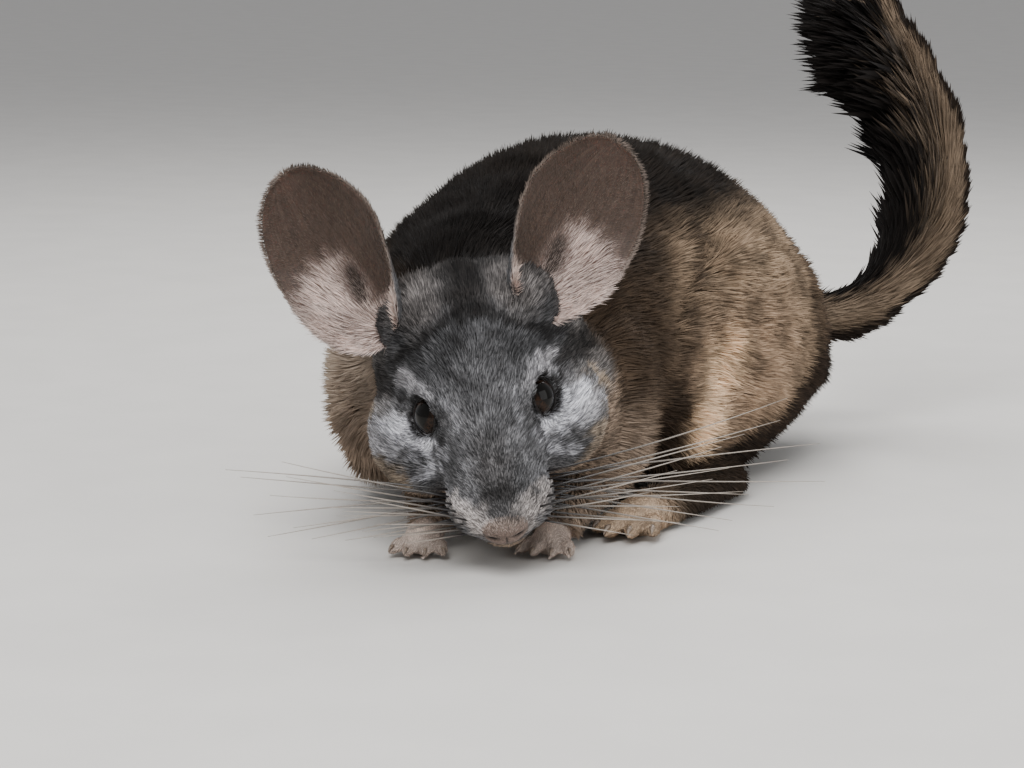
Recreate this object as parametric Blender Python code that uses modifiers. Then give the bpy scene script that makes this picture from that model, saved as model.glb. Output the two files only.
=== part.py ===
"""A life-size chinchilla, crouching with its head lowered and turned to its left, tail raised.

The animal faces -Y, its left side is +X and the floor is z = 0. Sizes below are millimetres of the
animal in its coat, and MM turns them into metres. The flesh is modelled whole, then parted into
named pieces by thin cuts of 0.3 mm, so that the pieces meet face to face.
"""
import math
import random

import bmesh
import bpy
from mathutils import Matrix, Vector

MM = 0.001
GAP = 0.3 * MM
SIDES = {"left": 1, "right": -1}

# Trunk stations from chest to rump: y, x of the spine, underside, back, half width.
TRUNK = [
    (-42, 18, 18, 66, 27),
    (-26, 9, 13, 79, 40),
    (-5, 2, 10, 92, 49),
    (20, -1, 6, 101, 55),
    (45, -2, 0, 107, 60),
    (70, -2, -3, 109, 63),
    (95, 0, -3, 104, 63),
    (118, 4, 2, 92, 56),
    (136, 9, 9, 75, 44),
    (148, 13, 20, 58, 27),
]
TRUNK_FRONT = (-50, 24, 42)
TRUNK_REAR = (153, 14, 37)
WIDEST_SHARE = 0.42

# Where the head is: the point midway between the eyes, and how far it turns, dips and leans.
HEAD_PLACE = (35, -60.6, 45)
HEAD_TURN, HEAD_DIP, HEAD_LEAN = 40, 40.5, -13

# Skull stations from the back of the head to the nose: y, top, bottom, half width.
SKULL = [
    (36, 15, -16, 19),
    (24, 22, -23, 25),
    (11, 22.0, -26, 22.5),
    (0, 17.0, -26, 18.5),
    (-12, 11, -25, 15.5),
    (-22, 5, -23.5, 12.5),
    (-30, -1.5, -21.5, 9.5),
    (-35, -5.5, -19, 7),
]
SKULL_BACK = (42, 0)
SKULL_FRONT = (-38, -12)

# Balls of flesh on each side of the head, in its own frame: centre, radii, and turn about X, Y and Z.
HEAD_FORMS = {
    "cheek": ((16.5, 6.5, -15), (18, 21, 16.5), (0, -8, 14)),
    "brow": ((10, 3, 8), (9, 13, 6), (0, 0, 0)),
    "crown": ((12, 25, 12), (14, 15, 11), (0, 0, 0)),
    "ear_lobe": ((16, 32.5, 14.5), (6, 7, 7), (0, 0, 0)),
    "whisker_pad": ((7.4, -24, -12.4), (8.3, 10.5, 7.9), (0, 0, 0)),
}
NOSE = ((0, -34.5, -10.5), (7.0, 5.4, 5.2))
CHIN = ((0, -24, -20.5), (8.5, 11, 5.0))
NOSTRIL = ((3.4, -38.6, -10.6), (2.5, 2.4, 0.75), (-20, 26, -24))
CLEFT_LOW, CLEFT_HIGH = (-0.35, -42, -22), (0.35, -36.2, -11.5)

# The same on each side of the body. The shoulders are centred on SHOULDER_MIDDLE, not on x = 0.
BODY_FORMS = {
    "thigh": ((43, 74, 46), (23, 44, 43), (12, 0, 0)),
    "knee": ((47, 40, 25), (14, 25, 22), (0, 0, 0)),
}
SHOULDER, SHOULDER_MIDDLE = ((34, -8, 36), (19, 27, 30)), 6
NECK_LINE, NECK_RADII = [(0, 8, 54), (10, -18, 56), (22, -42, 56)], [40, 37, 30]
TAIL_ROOT_LINE, TAIL_ROOT_RADII = [(10, 120, 42), (14, 138, 39), (22, 152, 38)], [30, 17, 8]

# Where the flesh is parted: balls given by centre and radii, and levels of the cutting planes.
HEAD_BALL = ((0, 0, -4), (47, 44, 40))
THIGH_BALL = ((60, 68, 38), (30, 50, 46))
NECK_BACK, MUZZLE_BACK, JAW_BACK = -18, -20, -14
FAR = 200

EYE_PLACE = (13.3, -2.0, 1.2)
EYE_RADIUS = 6.2
EYE_AXIS = (0.78, -0.36, 0.51)
LID_RADIUS, LID_THICKNESS, LID_FORWARD, LID_OPENING_DEPTH = 6.1, 1.0, 3.2, 12

# The ears stand in the plane that faces the viewer: up and out, their cups turned a little outwards.
EAR_UP, EAR_FRONT = (0, 0.7815, 0.624), (0, -0.624, 0.7815)
EARS = {
    "left": {"root": (14.6, 22.7, 8.5), "lean": 39, "length": 55},
    "right": {"root": (21.6, 21.7, 7.8), "lean": 24, "length": 56},
}
EAR_TURN, EAR_HALF_WIDTH, EAR_THICKNESS = 27, 20.5, 1.3
EAR_COLUMNS, EAR_ROWS = 10, 11
EAR_WIDEST, EAR_ROUNDNESS, EAR_BOW = 0.81, 2.3, 3.0
# The degrees of a circle that the cup closes: at its root, at EAR_OPENED of its height, and at its tip.
EAR_CLOSING, EAR_OPENED = (200, 75, 55), 0.62

TAIL_PATH = [
    (13, 141, 38),
    (41, 165, 40),
    (56, 180, 47),
    (65, 195, 61),
    (69, 204, 81),
    (65, 207, 103),
    (56, 202, 126),
    (45, 195, 145),
]
TAIL_BEND_CENTRE = (20, 175, 110)
TAIL_CORE_ROOT, TAIL_CORE_END, TAIL_CREST = 7.5, 6.0, 4.5
TAIL_NODES = (("tail_base", 0.10, 0.42), ("tail_middle", 0.42, 0.72), ("tail_tip", 0.72, 1.0))

MOUTH_LEVEL = -16.8
WHISKER_COLUMNS, WHISKER_ROWS = 4, 3
WHISKER_ROOT, WHISKER_TIP, WHISKER_CLEARANCE = 0.34, 0.12, 6
WHISKER_RISE = {1: (3, -19), -1: (22, -4)}
WHISKER_SWEEP = {1: (-12, 8), -1: (-30, 2)}
WHISKER_SHARE = {1: 1.0, -1: 0.68}

VOXEL = 1.7
SOFTNESS, SOFTENINGS = 0.6, 12
TRIANGLES_WHOLE = 3000


def vec(values):
    """A point given in millimetres."""
    return Vector(values) * MM


def head_matrix():
    turn = Matrix.Rotation(math.radians(HEAD_TURN), 4, "Z")
    dip = Matrix.Rotation(math.radians(HEAD_DIP), 4, "X")
    lean = Matrix.Rotation(math.radians(HEAD_LEAN), 4, "Y")
    return Matrix.Translation(vec(HEAD_PLACE)) @ turn @ dip @ lean


HEAD = head_matrix()


def start_scene():
    for old in list(bpy.data.objects):
        bpy.data.objects.remove(old)
    made = {}
    for name in ("chinchilla", "cutters"):
        made[name] = bpy.data.collections.new(name)
        bpy.context.scene.collection.children.link(made[name])
    return made["chinchilla"], made["cutters"]


PARTS, CUTTERS = start_scene()


def finish_material(name, colour, roughness):
    material = bpy.data.materials.new(name)
    material.use_nodes = True
    shader = material.node_tree.nodes["Principled BSDF"]
    shader.inputs["Base Color"].default_value = (*colour, 1)
    shader.inputs["Roughness"].default_value = roughness
    shader.inputs["Metallic"].default_value = 0
    material.diffuse_color = (*colour, 1)
    return material


FINISHES = {
    "coat_back": finish_material("coat_back", (0.09, 0.08, 0.075), 0.9),
    "coat_flank": finish_material("coat_flank", (0.22, 0.19, 0.16), 0.9),
    "coat_face": finish_material("coat_face", (0.20, 0.21, 0.23), 0.9),
    "coat_pale": finish_material("coat_pale", (0.38, 0.32, 0.26), 0.9),
    "ear_skin": finish_material("ear_skin", (0.19, 0.14, 0.125), 0.6),
    "eye": finish_material("eye", (0.012, 0.008, 0.007), 0.05),
    "bristle": finish_material("bristle", (0.035, 0.030, 0.028), 0.7),
}


def new_object(name, mesh, finish=None):
    made = bpy.data.objects.new(name, mesh)
    PARTS.objects.link(made)
    if finish:
        made.data.materials.clear()
        made.data.materials.append(FINISHES[finish])
    return made


def from_bmesh(name, shape, matrix=None, finish=None):
    """A new object from a bmesh, its faces turned outwards and its place in its mesh."""
    bmesh.ops.recalc_face_normals(shape, faces=shape.faces)
    mesh = bpy.data.meshes.new(name)
    shape.to_mesh(mesh)
    shape.free()
    if matrix is not None:
        mesh.transform(matrix)
    return new_object(name, mesh, finish)


def ellipsoid(name, centre, radii, matrix=None, turn=(0, 0, 0), segments=24, rings=14):
    """A closed ball stretched to three radii, turned by degrees about X, Y and Z."""
    shape = bmesh.new()
    bmesh.ops.create_uvsphere(shape, u_segments=segments, v_segments=rings, radius=1)
    place = Matrix.Translation(vec(centre))
    for angle, axis in zip(turn, "XYZ"):
        place = place @ Matrix.Rotation(math.radians(angle), 4, axis)
    place = place @ Matrix.Diagonal((*vec(radii), 1))
    return from_bmesh(name, shape, matrix @ place if matrix else place)


def box(name, low, high, matrix=None):
    shape = bmesh.new()
    bmesh.ops.create_cube(shape, size=1)
    size = vec(high) - vec(low)
    place = Matrix.Translation((vec(high) + vec(low)) / 2) @ Matrix.Diagonal((*size, 1))
    return from_bmesh(name, shape, matrix @ place if matrix else place)


def loft(name, rings, first_pole, last_pole, matrix=None):
    """A closed skin through rings of equal count, drawn to a pole at each end."""
    shape = bmesh.new()
    start = shape.verts.new(first_pole)
    loops = [[shape.verts.new(point) for point in ring] for ring in rings]
    end = shape.verts.new(last_pole)
    count = len(rings[0])
    for i in range(count):
        j = (i + 1) % count
        shape.faces.new((start, loops[0][j], loops[0][i]))
        shape.faces.new((end, loops[-1][i], loops[-1][j]))
        for below, above in zip(loops, loops[1:]):
            shape.faces.new((below[i], below[j], above[j], above[i]))
    return from_bmesh(name, shape, matrix)


def spline(rows, share):
    """A value row on the smooth curve through rows, at a share from 0 to 1 of their count."""
    place = max(0.0, min(1.0, share)) * (len(rows) - 1)
    i = min(int(place), len(rows) - 2)
    t = place - i
    a, b, c, d = (rows[max(0, min(len(rows) - 1, i + k))] for k in (-1, 0, 1, 2))
    return [
        0.5 * (2 * q + (r - p) * t + (2 * p - 5 * q + 4 * r - s) * t**2 + (3 * q - p - 3 * r + s) * t**3)
        for p, q, r, s in zip(a, b, c, d)
    ]


def rounded_ring(centre_x, y, low, high, half_width, power_low=2.5, power_high=2.0, count=36):
    """One upright section: widest below its middle, fuller underneath than on top."""
    widest = low + WIDEST_SHARE * (high - low)
    ring = []
    for i in range(count):
        angle = 2 * math.pi * i / count
        cos, sin = math.cos(angle), math.sin(angle)
        power, reach = (power_high, high - widest) if sin > 0 else (power_low, widest - low)
        scale = (abs(cos) ** power + abs(sin) ** power) ** (-1 / power)
        ring.append(vec((centre_x + half_width * cos * scale, y, widest + reach * sin * scale)))
    return ring


def trunk():
    rows = [spline(TRUNK, i / 29) for i in range(30)]
    rings = [rounded_ring(x, y, low, high, half) for y, x, low, high, half in rows]
    poles = [vec((x, y, z)) for y, x, z in (TRUNK_FRONT, TRUNK_REAR)]
    return loft("trunk", rings, *poles)


def skull():
    rows = [spline(SKULL, i / 23) for i in range(24)]
    rings = [rounded_ring(0, y, low, high, half, 2.2, 2.2) for y, high, low, half in rows]
    poles = [vec((0, y, z)) for y, z in (SKULL_BACK, SKULL_FRONT)]
    return loft("skull", rings, *poles, matrix=HEAD)


def limb(name, points, radii, matrix=None, sides=14, steps=4, flat=1.0, cap=(0.75, 0.35)):
    """A tapered tube with round ends through points, its radii given at each of them."""
    rows = [(*point, radius) for point, radius in zip(points, radii)]
    count = steps * (len(rows) - 1)
    samples = [spline(rows, i / count) for i in range(count + 1)]
    centres = [Vector(row[:3]) for row in samples]
    sizes = [row[3] for row in samples]
    ahead = (centres[1] - centres[0]).normalized()
    behind = (centres[-1] - centres[-2]).normalized()
    rings = [(centres[0] - ahead * sizes[0] * k, sizes[0] * math.sqrt(1 - k * k), ahead) for k in cap]
    for i, centre in enumerate(centres):
        along = centres[min(i + 1, count)] - centres[max(i - 1, 0)]
        rings.append((centre, sizes[i], along.normalized()))
    rings += [
        (centres[-1] + behind * sizes[-1] * k, sizes[-1] * math.sqrt(1 - k * k), behind)
        for k in reversed(cap)
    ]
    across = ahead.cross(Vector((0, 0, 1))).normalized()
    loops = []
    for centre, radius, along in rings:
        across = (across - along * across.dot(along)).normalized()
        upper = across.cross(along) * flat
        loops.append([
            (centre + (across * math.cos(turn) + upper * math.sin(turn)) * radius) * MM
            for turn in (2 * math.pi * i / sides for i in range(sides))
        ])
    first = (centres[0] - ahead * sizes[0]) * MM
    last = (centres[-1] + behind * sizes[-1]) * MM
    return loft(name, loops, first, last, matrix)


def evaluated_mesh(obj):
    graph = bpy.context.evaluated_depsgraph_get()
    return bpy.data.meshes.new_from_object(obj.evaluated_get(graph))


def apply_modifiers(obj):
    mesh = evaluated_mesh(obj)
    obj.modifiers.clear()
    old, obj.data = obj.data, mesh
    bpy.data.meshes.remove(old)
    return obj


def keep_largest(obj):
    """Keeps only the largest closed surface of a mesh, so a scrap or a sealed hollow goes."""
    shape = bmesh.new()
    shape.from_mesh(obj.data)
    left, groups = set(shape.verts), []
    while left:
        stack, group = [left.pop()], []
        while stack:
            vert = stack.pop()
            group.append(vert)
            for edge in vert.link_edges:
                other = edge.other_vert(vert)
                if other in left:
                    left.remove(other)
                    stack.append(other)
        groups.append(group)
    groups.sort(key=len)
    bmesh.ops.delete(shape, geom=[v for g in groups[:-1] for v in g], context="VERTS")
    shape.to_mesh(obj.data)
    shape.free()
    return obj


def boolean(obj, others, operation):
    """Joins or cuts obj with closed mesh objects, applies it and removes them.

    The solver is MANIFOLD because EXACT loses whole pieces of this thinned organic surface.
    """
    group = bpy.data.collections.new("operands")
    bpy.context.scene.collection.children.link(group)
    for other in others:
        group.objects.link(other)
    modifier = obj.modifiers.new("boolean", "BOOLEAN")
    modifier.operation = operation
    modifier.solver = "MANIFOLD"
    modifier.operand_type = "COLLECTION"
    modifier.collection = group
    apply_modifiers(obj)
    for other in others:
        bpy.data.objects.remove(other)
    bpy.data.collections.remove(group)
    return keep_largest(obj)


def copy_of(obj, name, grow=0.0):
    """A copy of an object, its surface moved out by grow."""
    made = bpy.data.objects.new(name, obj.data.copy())
    PARTS.objects.link(made)
    if grow:
        modifier = made.modifiers.new("grow", "DISPLACE")
        modifier.mid_level = 0
        modifier.strength = grow
        apply_modifiers(made)
    return made


def clear_of(obj, neighbours):
    """Cuts obj back from its neighbours, leaving the gap that touching pieces keep."""
    for neighbour in neighbours:
        boolean(obj, [copy_of(neighbour, "grown", GAP)], "DIFFERENCE")
    return obj


def named(obj, name, finish):
    obj.name = name
    obj.data.name = name
    obj.data.materials.clear()
    obj.data.materials.append(FINISHES[finish])
    obj.data.shade_smooth()
    obj.data.set_sharp_from_angle(angle=math.radians(40))
    return obj


def sided_ball(name, side, centre, radii, turn=(0, 0, 0), matrix=None, **counts):
    """A ball given for the left side, or its mirror image on the right."""
    centre = (side * centre[0], centre[1], centre[2])
    turn = (turn[0], side * turn[1], side * turn[2])
    return ellipsoid(name, centre, radii, matrix, turn, **counts)


def flesh():
    """The whole animal but for its ears, eyes, lower legs and tail, fused and smoothed."""
    pieces = [trunk(), skull()]
    pieces.append(limb("neck", NECK_LINE, NECK_RADII, sides=28))
    pieces.append(limb("tail_root", TAIL_ROOT_LINE, TAIL_ROOT_RADII, sides=20))
    pieces.append(ellipsoid("nose", *NOSE, HEAD))
    pieces.append(ellipsoid("chin", *CHIN, HEAD))
    for side in SIDES.values():
        pieces += [sided_ball(name, side, *form, HEAD) for name, form in HEAD_FORMS.items()]
        pieces += [sided_ball(name, side, *form) for name, form in BODY_FORMS.items()]
        (x, y, z), radii = SHOULDER
        pieces.append(ellipsoid("shoulder", (SHOULDER_MIDDLE + side * x, y, z), radii))
    whole = pieces[0]
    with bpy.context.temp_override(active_object=whole, selected_editable_objects=pieces):
        bpy.ops.object.join()
    remesh = whole.modifiers.new("fuse", "REMESH")
    remesh.mode = "VOXEL"
    remesh.voxel_size = VOXEL * MM
    smooth = whole.modifiers.new("soften", "SMOOTH")
    smooth.factor = SOFTNESS
    smooth.iterations = SOFTENINGS
    apply_modifiers(whole)
    whole.data.calc_loop_triangles()
    thin = whole.modifiers.new("thin", "DECIMATE")
    thin.ratio = TRIANGLES_WHOLE / len(whole.data.loop_triangles)
    apply_modifiers(whole)
    return level_cut(whole)


def part_off(rest, name, finish, cutter):
    """Takes the share of rest inside a cutter as a named piece. cutter(grow) makes the cutter."""
    piece = boolean(copy_of(rest, name), [cutter(-GAP / 2 / MM)], "INTERSECT")
    boolean(rest, [cutter(GAP / 2 / MM)], "DIFFERENCE")
    return named(piece, name, finish)


def ball_cutter(centre, radii, matrix=None, turn=(0, 0, 0)):
    def make(grow):
        grown = [r + grow for r in radii]
        return ellipsoid("cutter", centre, grown, matrix, turn, segments=20, rings=12)
    return make


def box_cutter(low, high, matrix=None):
    def make(grow):
        return box("cutter", [v - grow for v in low], [v + grow for v in high], matrix)
    return make


def eye_matrix(side):
    """The eye's own frame: its centre, and Z the way it looks."""
    axis = Vector((side * EYE_AXIS[0], EYE_AXIS[1], EYE_AXIS[2])).normalized()
    centre = vec((side * EYE_PLACE[0], EYE_PLACE[1], EYE_PLACE[2]))
    return HEAD @ Matrix.Translation(centre) @ axis.to_track_quat("Z", "Y").to_matrix().to_4x4()


def eye(side):
    return ellipsoid("eye", (0, 0, 0), (EYE_RADIUS,) * 3, eye_matrix(side), segments=14, rings=8)


def lid_opening(side):
    """What is cut from the face in front of the eye, between the lids."""
    shape = bmesh.new()
    bmesh.ops.create_cone(shape, cap_ends=True, segments=20, radius1=LID_RADIUS * MM,
                          radius2=1.15 * LID_RADIUS * MM, depth=LID_OPENING_DEPTH * MM)
    forward = vec((0, 0, LID_FORWARD + LID_OPENING_DEPTH / 2))
    return from_bmesh("lid_opening", shape, eye_matrix(side) @ Matrix.Translation(forward))


def lid(side):
    """A soft ring round the eye, square to the way the eye looks."""
    bpy.ops.mesh.primitive_torus_add(
        major_segments=20, minor_segments=8, major_radius=LID_RADIUS * MM, minor_radius=LID_THICKNESS * MM
    )
    made = bpy.context.active_object
    made.data.transform(eye_matrix(side) @ Matrix.Translation(vec((0, 0, LID_FORWARD))))
    return made


def set_eye(head, name):
    """Opens the face at an eye, rings it with the lids, and sets the eye in its socket."""
    side = SIDES[name]
    boolean(head, [lid_opening(side)], "DIFFERENCE")
    boolean(head, [lid(side)], "UNION")
    clear_of(head, [named(eye(side), f"eye_{name}", "eye")])


def ear_point(across, along, length):
    """The ear's mid surface in its own frame: X across, Y out of the cup, Z from root to tip."""
    half = EAR_HALF_WIDTH * max(0.0, 1 - abs(2 * along ** EAR_WIDEST - 1) ** EAR_ROUNDNESS) ** 0.5
    root, middle, tip = EAR_CLOSING
    if along < EAR_OPENED:
        closing = root + (middle - root) * along / EAR_OPENED
    else:
        closing = middle + (tip - middle) * (along - EAR_OPENED) / (1 - EAR_OPENED)
    bend = math.radians(closing)
    radius = 2 * half / bend
    turn = across * bend / 2
    lean = EAR_BOW * math.sin(math.pi * along)
    return Vector((radius * math.sin(turn), radius * (1 - math.cos(turn)) - lean, along * length))


def ear(name):
    side, facts = SIDES[name], EARS[name]
    lean, turn = math.radians(facts["lean"]), math.radians(EAR_TURN)
    outwards = Vector((side, 0, 0))
    axis = outwards * math.sin(lean) + Vector(EAR_UP) * math.cos(lean)
    facing = outwards * math.sin(turn) + Vector(EAR_FRONT) * math.cos(turn)
    facing = (facing - axis * facing.dot(axis)).normalized()
    frame = Matrix((facing.cross(axis), facing, axis)).transposed()
    root = Vector((side * facts["root"][0], facts["root"][1], facts["root"][2]))
    shape = bmesh.new()
    grid = []
    for j in range(EAR_ROWS + 1):
        along = 0.5 - 0.5 * math.cos(math.pi * (j + 0.4) / (EAR_ROWS + 0.8))
        grid.append([
            shape.verts.new((root + frame @ ear_point(2 * i / EAR_COLUMNS - 1, along, facts["length"])) * MM)
            for i in range(EAR_COLUMNS + 1)
        ])
    for low, high in zip(grid, grid[1:]):
        for i in range(EAR_COLUMNS):
            shape.faces.new((low[i], low[i + 1], high[i + 1], high[i]))
    made = from_bmesh("ear", shape, HEAD)
    wall = made.modifiers.new("wall", "SOLIDIFY")
    wall.thickness = EAR_THICKNESS * MM
    wall.offset = 0
    return apply_modifiers(made)


def toe_with_claw(root, length, radius, heading):
    """One toe: a low arched tube with a small blunt claw at its end."""
    ahead = Vector((math.sin(math.radians(heading)), -math.cos(math.radians(heading)), 0))
    base = Vector(root)
    arch = base + ahead * length * 0.5 + Vector((0, 0, radius * 0.5))
    tip = base + ahead * length
    toe = limb("toe", [base, arch, tip], [radius, radius * 1.05, radius * 0.95], sides=7, steps=1, cap=(0.6,))
    end = tip + ahead * radius * 1.5 - Vector((0, 0, radius * 0.35))
    claw = limb("claw", [tip, end], [radius * 0.55, radius * 0.2], sides=5, steps=1, cap=(0.5,))
    return [toe, claw]


def level_cut(obj):
    """A flat at floor level under the belly or a foot."""
    return boolean(obj, [box("floor", (-FAR, -FAR, -FAR), (FAR, FAR, 0))], "DIFFERENCE")


FOREPAWS = {
    "left": {"wrist": (45, -36, 8), "toes": (46.5, -43, 3.4), "heading": 14, "elbow": (44, -6, 24)},
    "right": {"wrist": (13, -53, 9), "toes": (14.5, -61, 3.4), "heading": 22, "elbow": (-4, -30, 30)},
}
HIND_FEET = {
    "left": {"heel": (56, 47, 5.6), "ball": (56, -9, 4.6), "heading": 4},
    "right": {"heel": (-49, 80, 5.6), "ball": (-45, 27, 4.6), "heading": 2},
}
SOLE_RADII, SOLE_FLAT = [6.8, 6.3, 7.4], 0.8
PALM_RADII, FORELEG_RADII = [4.6, 5.2], [12, 7.5, 5.2]
# Toes of a left foot: sideways place, fan angle and length. Then the radius of each.
FOREPAW_ROW, FOREPAW_TOE = ((-4.8, -20, 6), (-1.7, -6, 8), (1.7, 6, 8), (4.8, 20, 6.5)), 1.8
HIND_ROW, HIND_TOE = ((-5.4, -12, 9), (-1.6, -3, 13), (2.6, 6, 12), (6.2, 18, 8)), 2.5


def toes_from(place, heading, row, radius, side):
    """A fan of toes from rows of sideways place, fan angle and length, mirrored on the right."""
    turn = Matrix.Rotation(math.radians(heading), 3, "Z")
    made = []
    for shift, fan, length in row:
        root = place + turn @ Vector((side * shift, 0, -0.8))
        made += toe_with_claw(root, length, radius, heading + side * fan)
    return made


def forepaw(name):
    facts = FOREPAWS[name]
    wrist, toes = Vector(facts["wrist"]), Vector(facts["toes"])
    line = [wrist - Vector((0, 0, 2)), toes + Vector((0, 0, 0.6))]
    palm = limb("palm", line, PALM_RADII, sides=12, steps=1)
    fan = toes_from(toes, facts["heading"], FOREPAW_ROW, FOREPAW_TOE, 1)
    return level_cut(boolean(palm, fan, "UNION"))


def foreleg(name):
    facts = FOREPAWS[name]
    elbow, wrist = Vector(facts["elbow"]), Vector(facts["wrist"])
    middle = (elbow + wrist) / 2 + Vector((0, 2, 1))
    return limb("foreleg", [elbow, middle, wrist], FORELEG_RADII, sides=12, steps=3)


def hind_foot(name):
    side, facts = SIDES[name], HIND_FEET[name]
    heel, ball = Vector(facts["heel"]), Vector(facts["ball"])
    middle = (heel + ball) / 2 + Vector((side, 0, 0.6))
    sole = limb("sole", [heel, middle, ball], SOLE_RADII, sides=12, steps=1, flat=SOLE_FLAT)
    toes = toes_from(ball, side * facts["heading"], HIND_ROW, HIND_TOE, side)
    return level_cut(boolean(sole, toes, "UNION"))


def tail_frame(share):
    """Centre, heading and upper side of the tail at a share of its length, in millimetres."""
    centre = Vector(spline(TAIL_PATH, share))
    along = (Vector(spline(TAIL_PATH, share + 0.01)) - Vector(spline(TAIL_PATH, share - 0.01))).normalized()
    upper = Vector(TAIL_BEND_CENTRE) - centre
    upper = (upper - along * upper.dot(along)).normalized()
    return centre, along, upper


def tail_core_radius(share, turn):
    """The core is round near the rump and ridged under the crest of long hair farther out."""
    plain = TAIL_CORE_ROOT + (TAIL_CORE_END - TAIL_CORE_ROOT) * share
    return plain + TAIL_CREST * min(1.0, share * 1.6) * max(0.0, math.cos(turn)) ** 1.5


def tail_core(start, end, grow):
    sides, steps = 10, 5
    rings = []
    for i in range(steps + 1):
        centre, along, upper = tail_frame(start + (end - start) * i / steps)
        side = along.cross(upper)
        rings.append([
            (centre + (upper * math.cos(turn) + side * math.sin(turn))
             * (tail_core_radius(start + (end - start) * i / steps, turn) + grow)) * MM
            for turn in (2 * math.pi * k / sides for k in range(sides))
        ])
    first, last = tail_frame(start), tail_frame(end)
    low = (first[0] - first[1] * grow) * MM
    high = (last[0] + last[1] * grow) * MM
    return loft("tail", rings, low, high)


def lock(root, along, out, length, width, lie, curl, grow):
    """A flat tapered lock that leaves the surface at an angle and bends along its lie."""
    side = along.cross(out).normalized()
    steps = len(LOCK_TAPER)
    rings = []
    point, angle = root.copy(), lie
    for i in range(steps):
        share = i / steps
        face = out * math.cos(angle) - along * math.sin(angle)
        half = width * LOCK_TAPER[i] / 2 + grow
        thick = width * LOCK_THICKNESS * (1 - 0.5 * share) + grow
        rings.append([
            (point + side * half * across + face * thick * lift) * MM
            for across, lift in ((1, 0), (0, 1), (-1, 0), (0, -1))
        ])
        heading = along * math.cos(angle) + out * math.sin(angle)
        point = point + heading * length / steps
        angle += curl / steps
    start = root - (along * math.cos(lie) + out * math.sin(lie)) * (1 + 2 * grow)
    return loft("lock", rings, start * MM, (point + heading * 3 * grow) * MM)


# Locks round the tail in a row: the turn from the crest, length near the rump and at the tip,
# the angle they stand at, and width. The crest is long, the underside short and close.
TAIL_ROW = (
    (0, 30, 40, 46, 9.5),
    (42, 26, 36, 42, 9.5),
    (-42, 26, 36, 42, 9.5),
    (95, 15, 20, 24, 9.0),
    (-95, 15, 20, 24, 9.0),
    (180, 13, 15, 16, 9.5),
)
TAIL_ROWS = 11
TAIL_ROOT = 0.10
# The brush at the end: distance from the core's line, spread in degrees and length of the locks.
TAIL_TUFT = ((0, 0, 33), (4, 14, 33), (5, 28, 31))
LOCK_TAPER, LOCK_THICKNESS = (0.62, 1.0, 0.72), 0.27


def tail_pieces(start, end, grow=0.0):
    """One length of tail: its core, and locks short underneath and long above and at the tip."""
    draw = random.Random(7)
    core = tail_core(start, end, grow)
    locks = []
    for i in range(TAIL_ROWS):
        share = TAIL_ROOT + (1 - TAIL_ROOT) * (i + 0.2) / TAIL_ROWS
        centre, along, upper = tail_frame(share)
        side = along.cross(upper)
        for degrees, near, far, lie, width in TAIL_ROW:
            turn = math.radians(degrees + (16 if i % 2 else -16) + draw.uniform(-5, 5))
            length = near + (far - near) * min(1.0, 3 * (share - TAIL_ROOT)) + draw.uniform(-1.5, 1.5)
            out = upper * math.cos(turn) + side * math.sin(turn)
            root = centre + out * (tail_core_radius(share, turn) - 2.2)
            angle = math.radians(lie * (0.6 + 0.4 * min(1.0, 2 * share)))
            if start < share < end:
                locks.append(lock(root, along, out, length, width, angle, math.radians(-10), grow))
    if end == 1.0:
        locks += tail_tuft(draw, grow)
    return core, locks


def tail_tuft(draw, grow):
    """The locks that carry the brush on past the end of the tail's core."""
    centre, along, upper = tail_frame(1.0)
    side = along.cross(upper)
    made = []
    for reach, spread, length in TAIL_TUFT:
        count = 1 if spread == 0 else 5
        for k in range(count):
            turn = 2 * math.pi * (k + 0.5 * (spread > 20)) / count
            out = upper * math.cos(turn) + side * math.sin(turn)
            root = centre - along * 3 + out * reach
            size = length + draw.uniform(-3, 3)
            made.append(lock(root, along, out, size, 7.0, math.radians(spread), math.radians(-6), grow))
    return made


def whisker_points(root, out, length):
    """A whisker's line: straight out, then drooping a little, and never down to the floor."""
    points = []
    for k in range(4):
        share = k / 3
        sag = Vector((0, 0.02, -0.06)) * length * share * share
        point = HEAD @ ((root + out * (length * share - 2.5 * (1 - share)) + sag) * MM) / MM
        point.z = max(point.z, WHISKER_CLEARANCE)
        points.append(point)
    return points


def whiskers(side):
    """Long tapered feelers in rows on the pad, swept outwards, the rear ones the longest."""
    draw = random.Random(11)
    back, up = -Vector(EAR_FRONT), Vector(EAR_UP)
    high, low = WHISKER_RISE[side]
    front, rear = WHISKER_SWEEP[side]
    made = []
    for column in range(WHISKER_COLUMNS):
        for row in range(WHISKER_ROWS):
            root = Vector((side * (11 + 1.4 * column), -31 + 3.4 * column, -9.5 - 2.8 * row))
            length = (52 + 12 * column - 4 * row + draw.uniform(-4, 4)) * WHISKER_SHARE[side]
            sweep = math.radians(front + (rear - front) * column / 3 + draw.uniform(-4, 4))
            rise = math.radians(high + (low - high) * (row + draw.uniform(0, 0.8)) / WHISKER_ROWS)
            out = Vector((side * math.cos(sweep), 0, 0)) + back * math.sin(sweep)
            out = out * math.cos(rise) + up * math.sin(rise)
            radii = [WHISKER_ROOT + (WHISKER_TIP - WHISKER_ROOT) * k / 3 for k in range(4)]
            points = whisker_points(root, out, length)
            made.append(limb("whisker", points, radii, sides=3, steps=1, cap=()))
    return made


def face_cuts(muzzle):
    """Nostrils as two slanting slits and the cleft below the nose."""
    cutters = []
    for side in SIDES.values():
        cutters.append(sided_ball("nostril", side, *NOSTRIL, HEAD, segments=12, rings=8))
    cutters.append(box("cleft", CLEFT_LOW, CLEFT_HIGH, HEAD))
    return boolean(muzzle, cutters, "DIFFERENCE")


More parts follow.
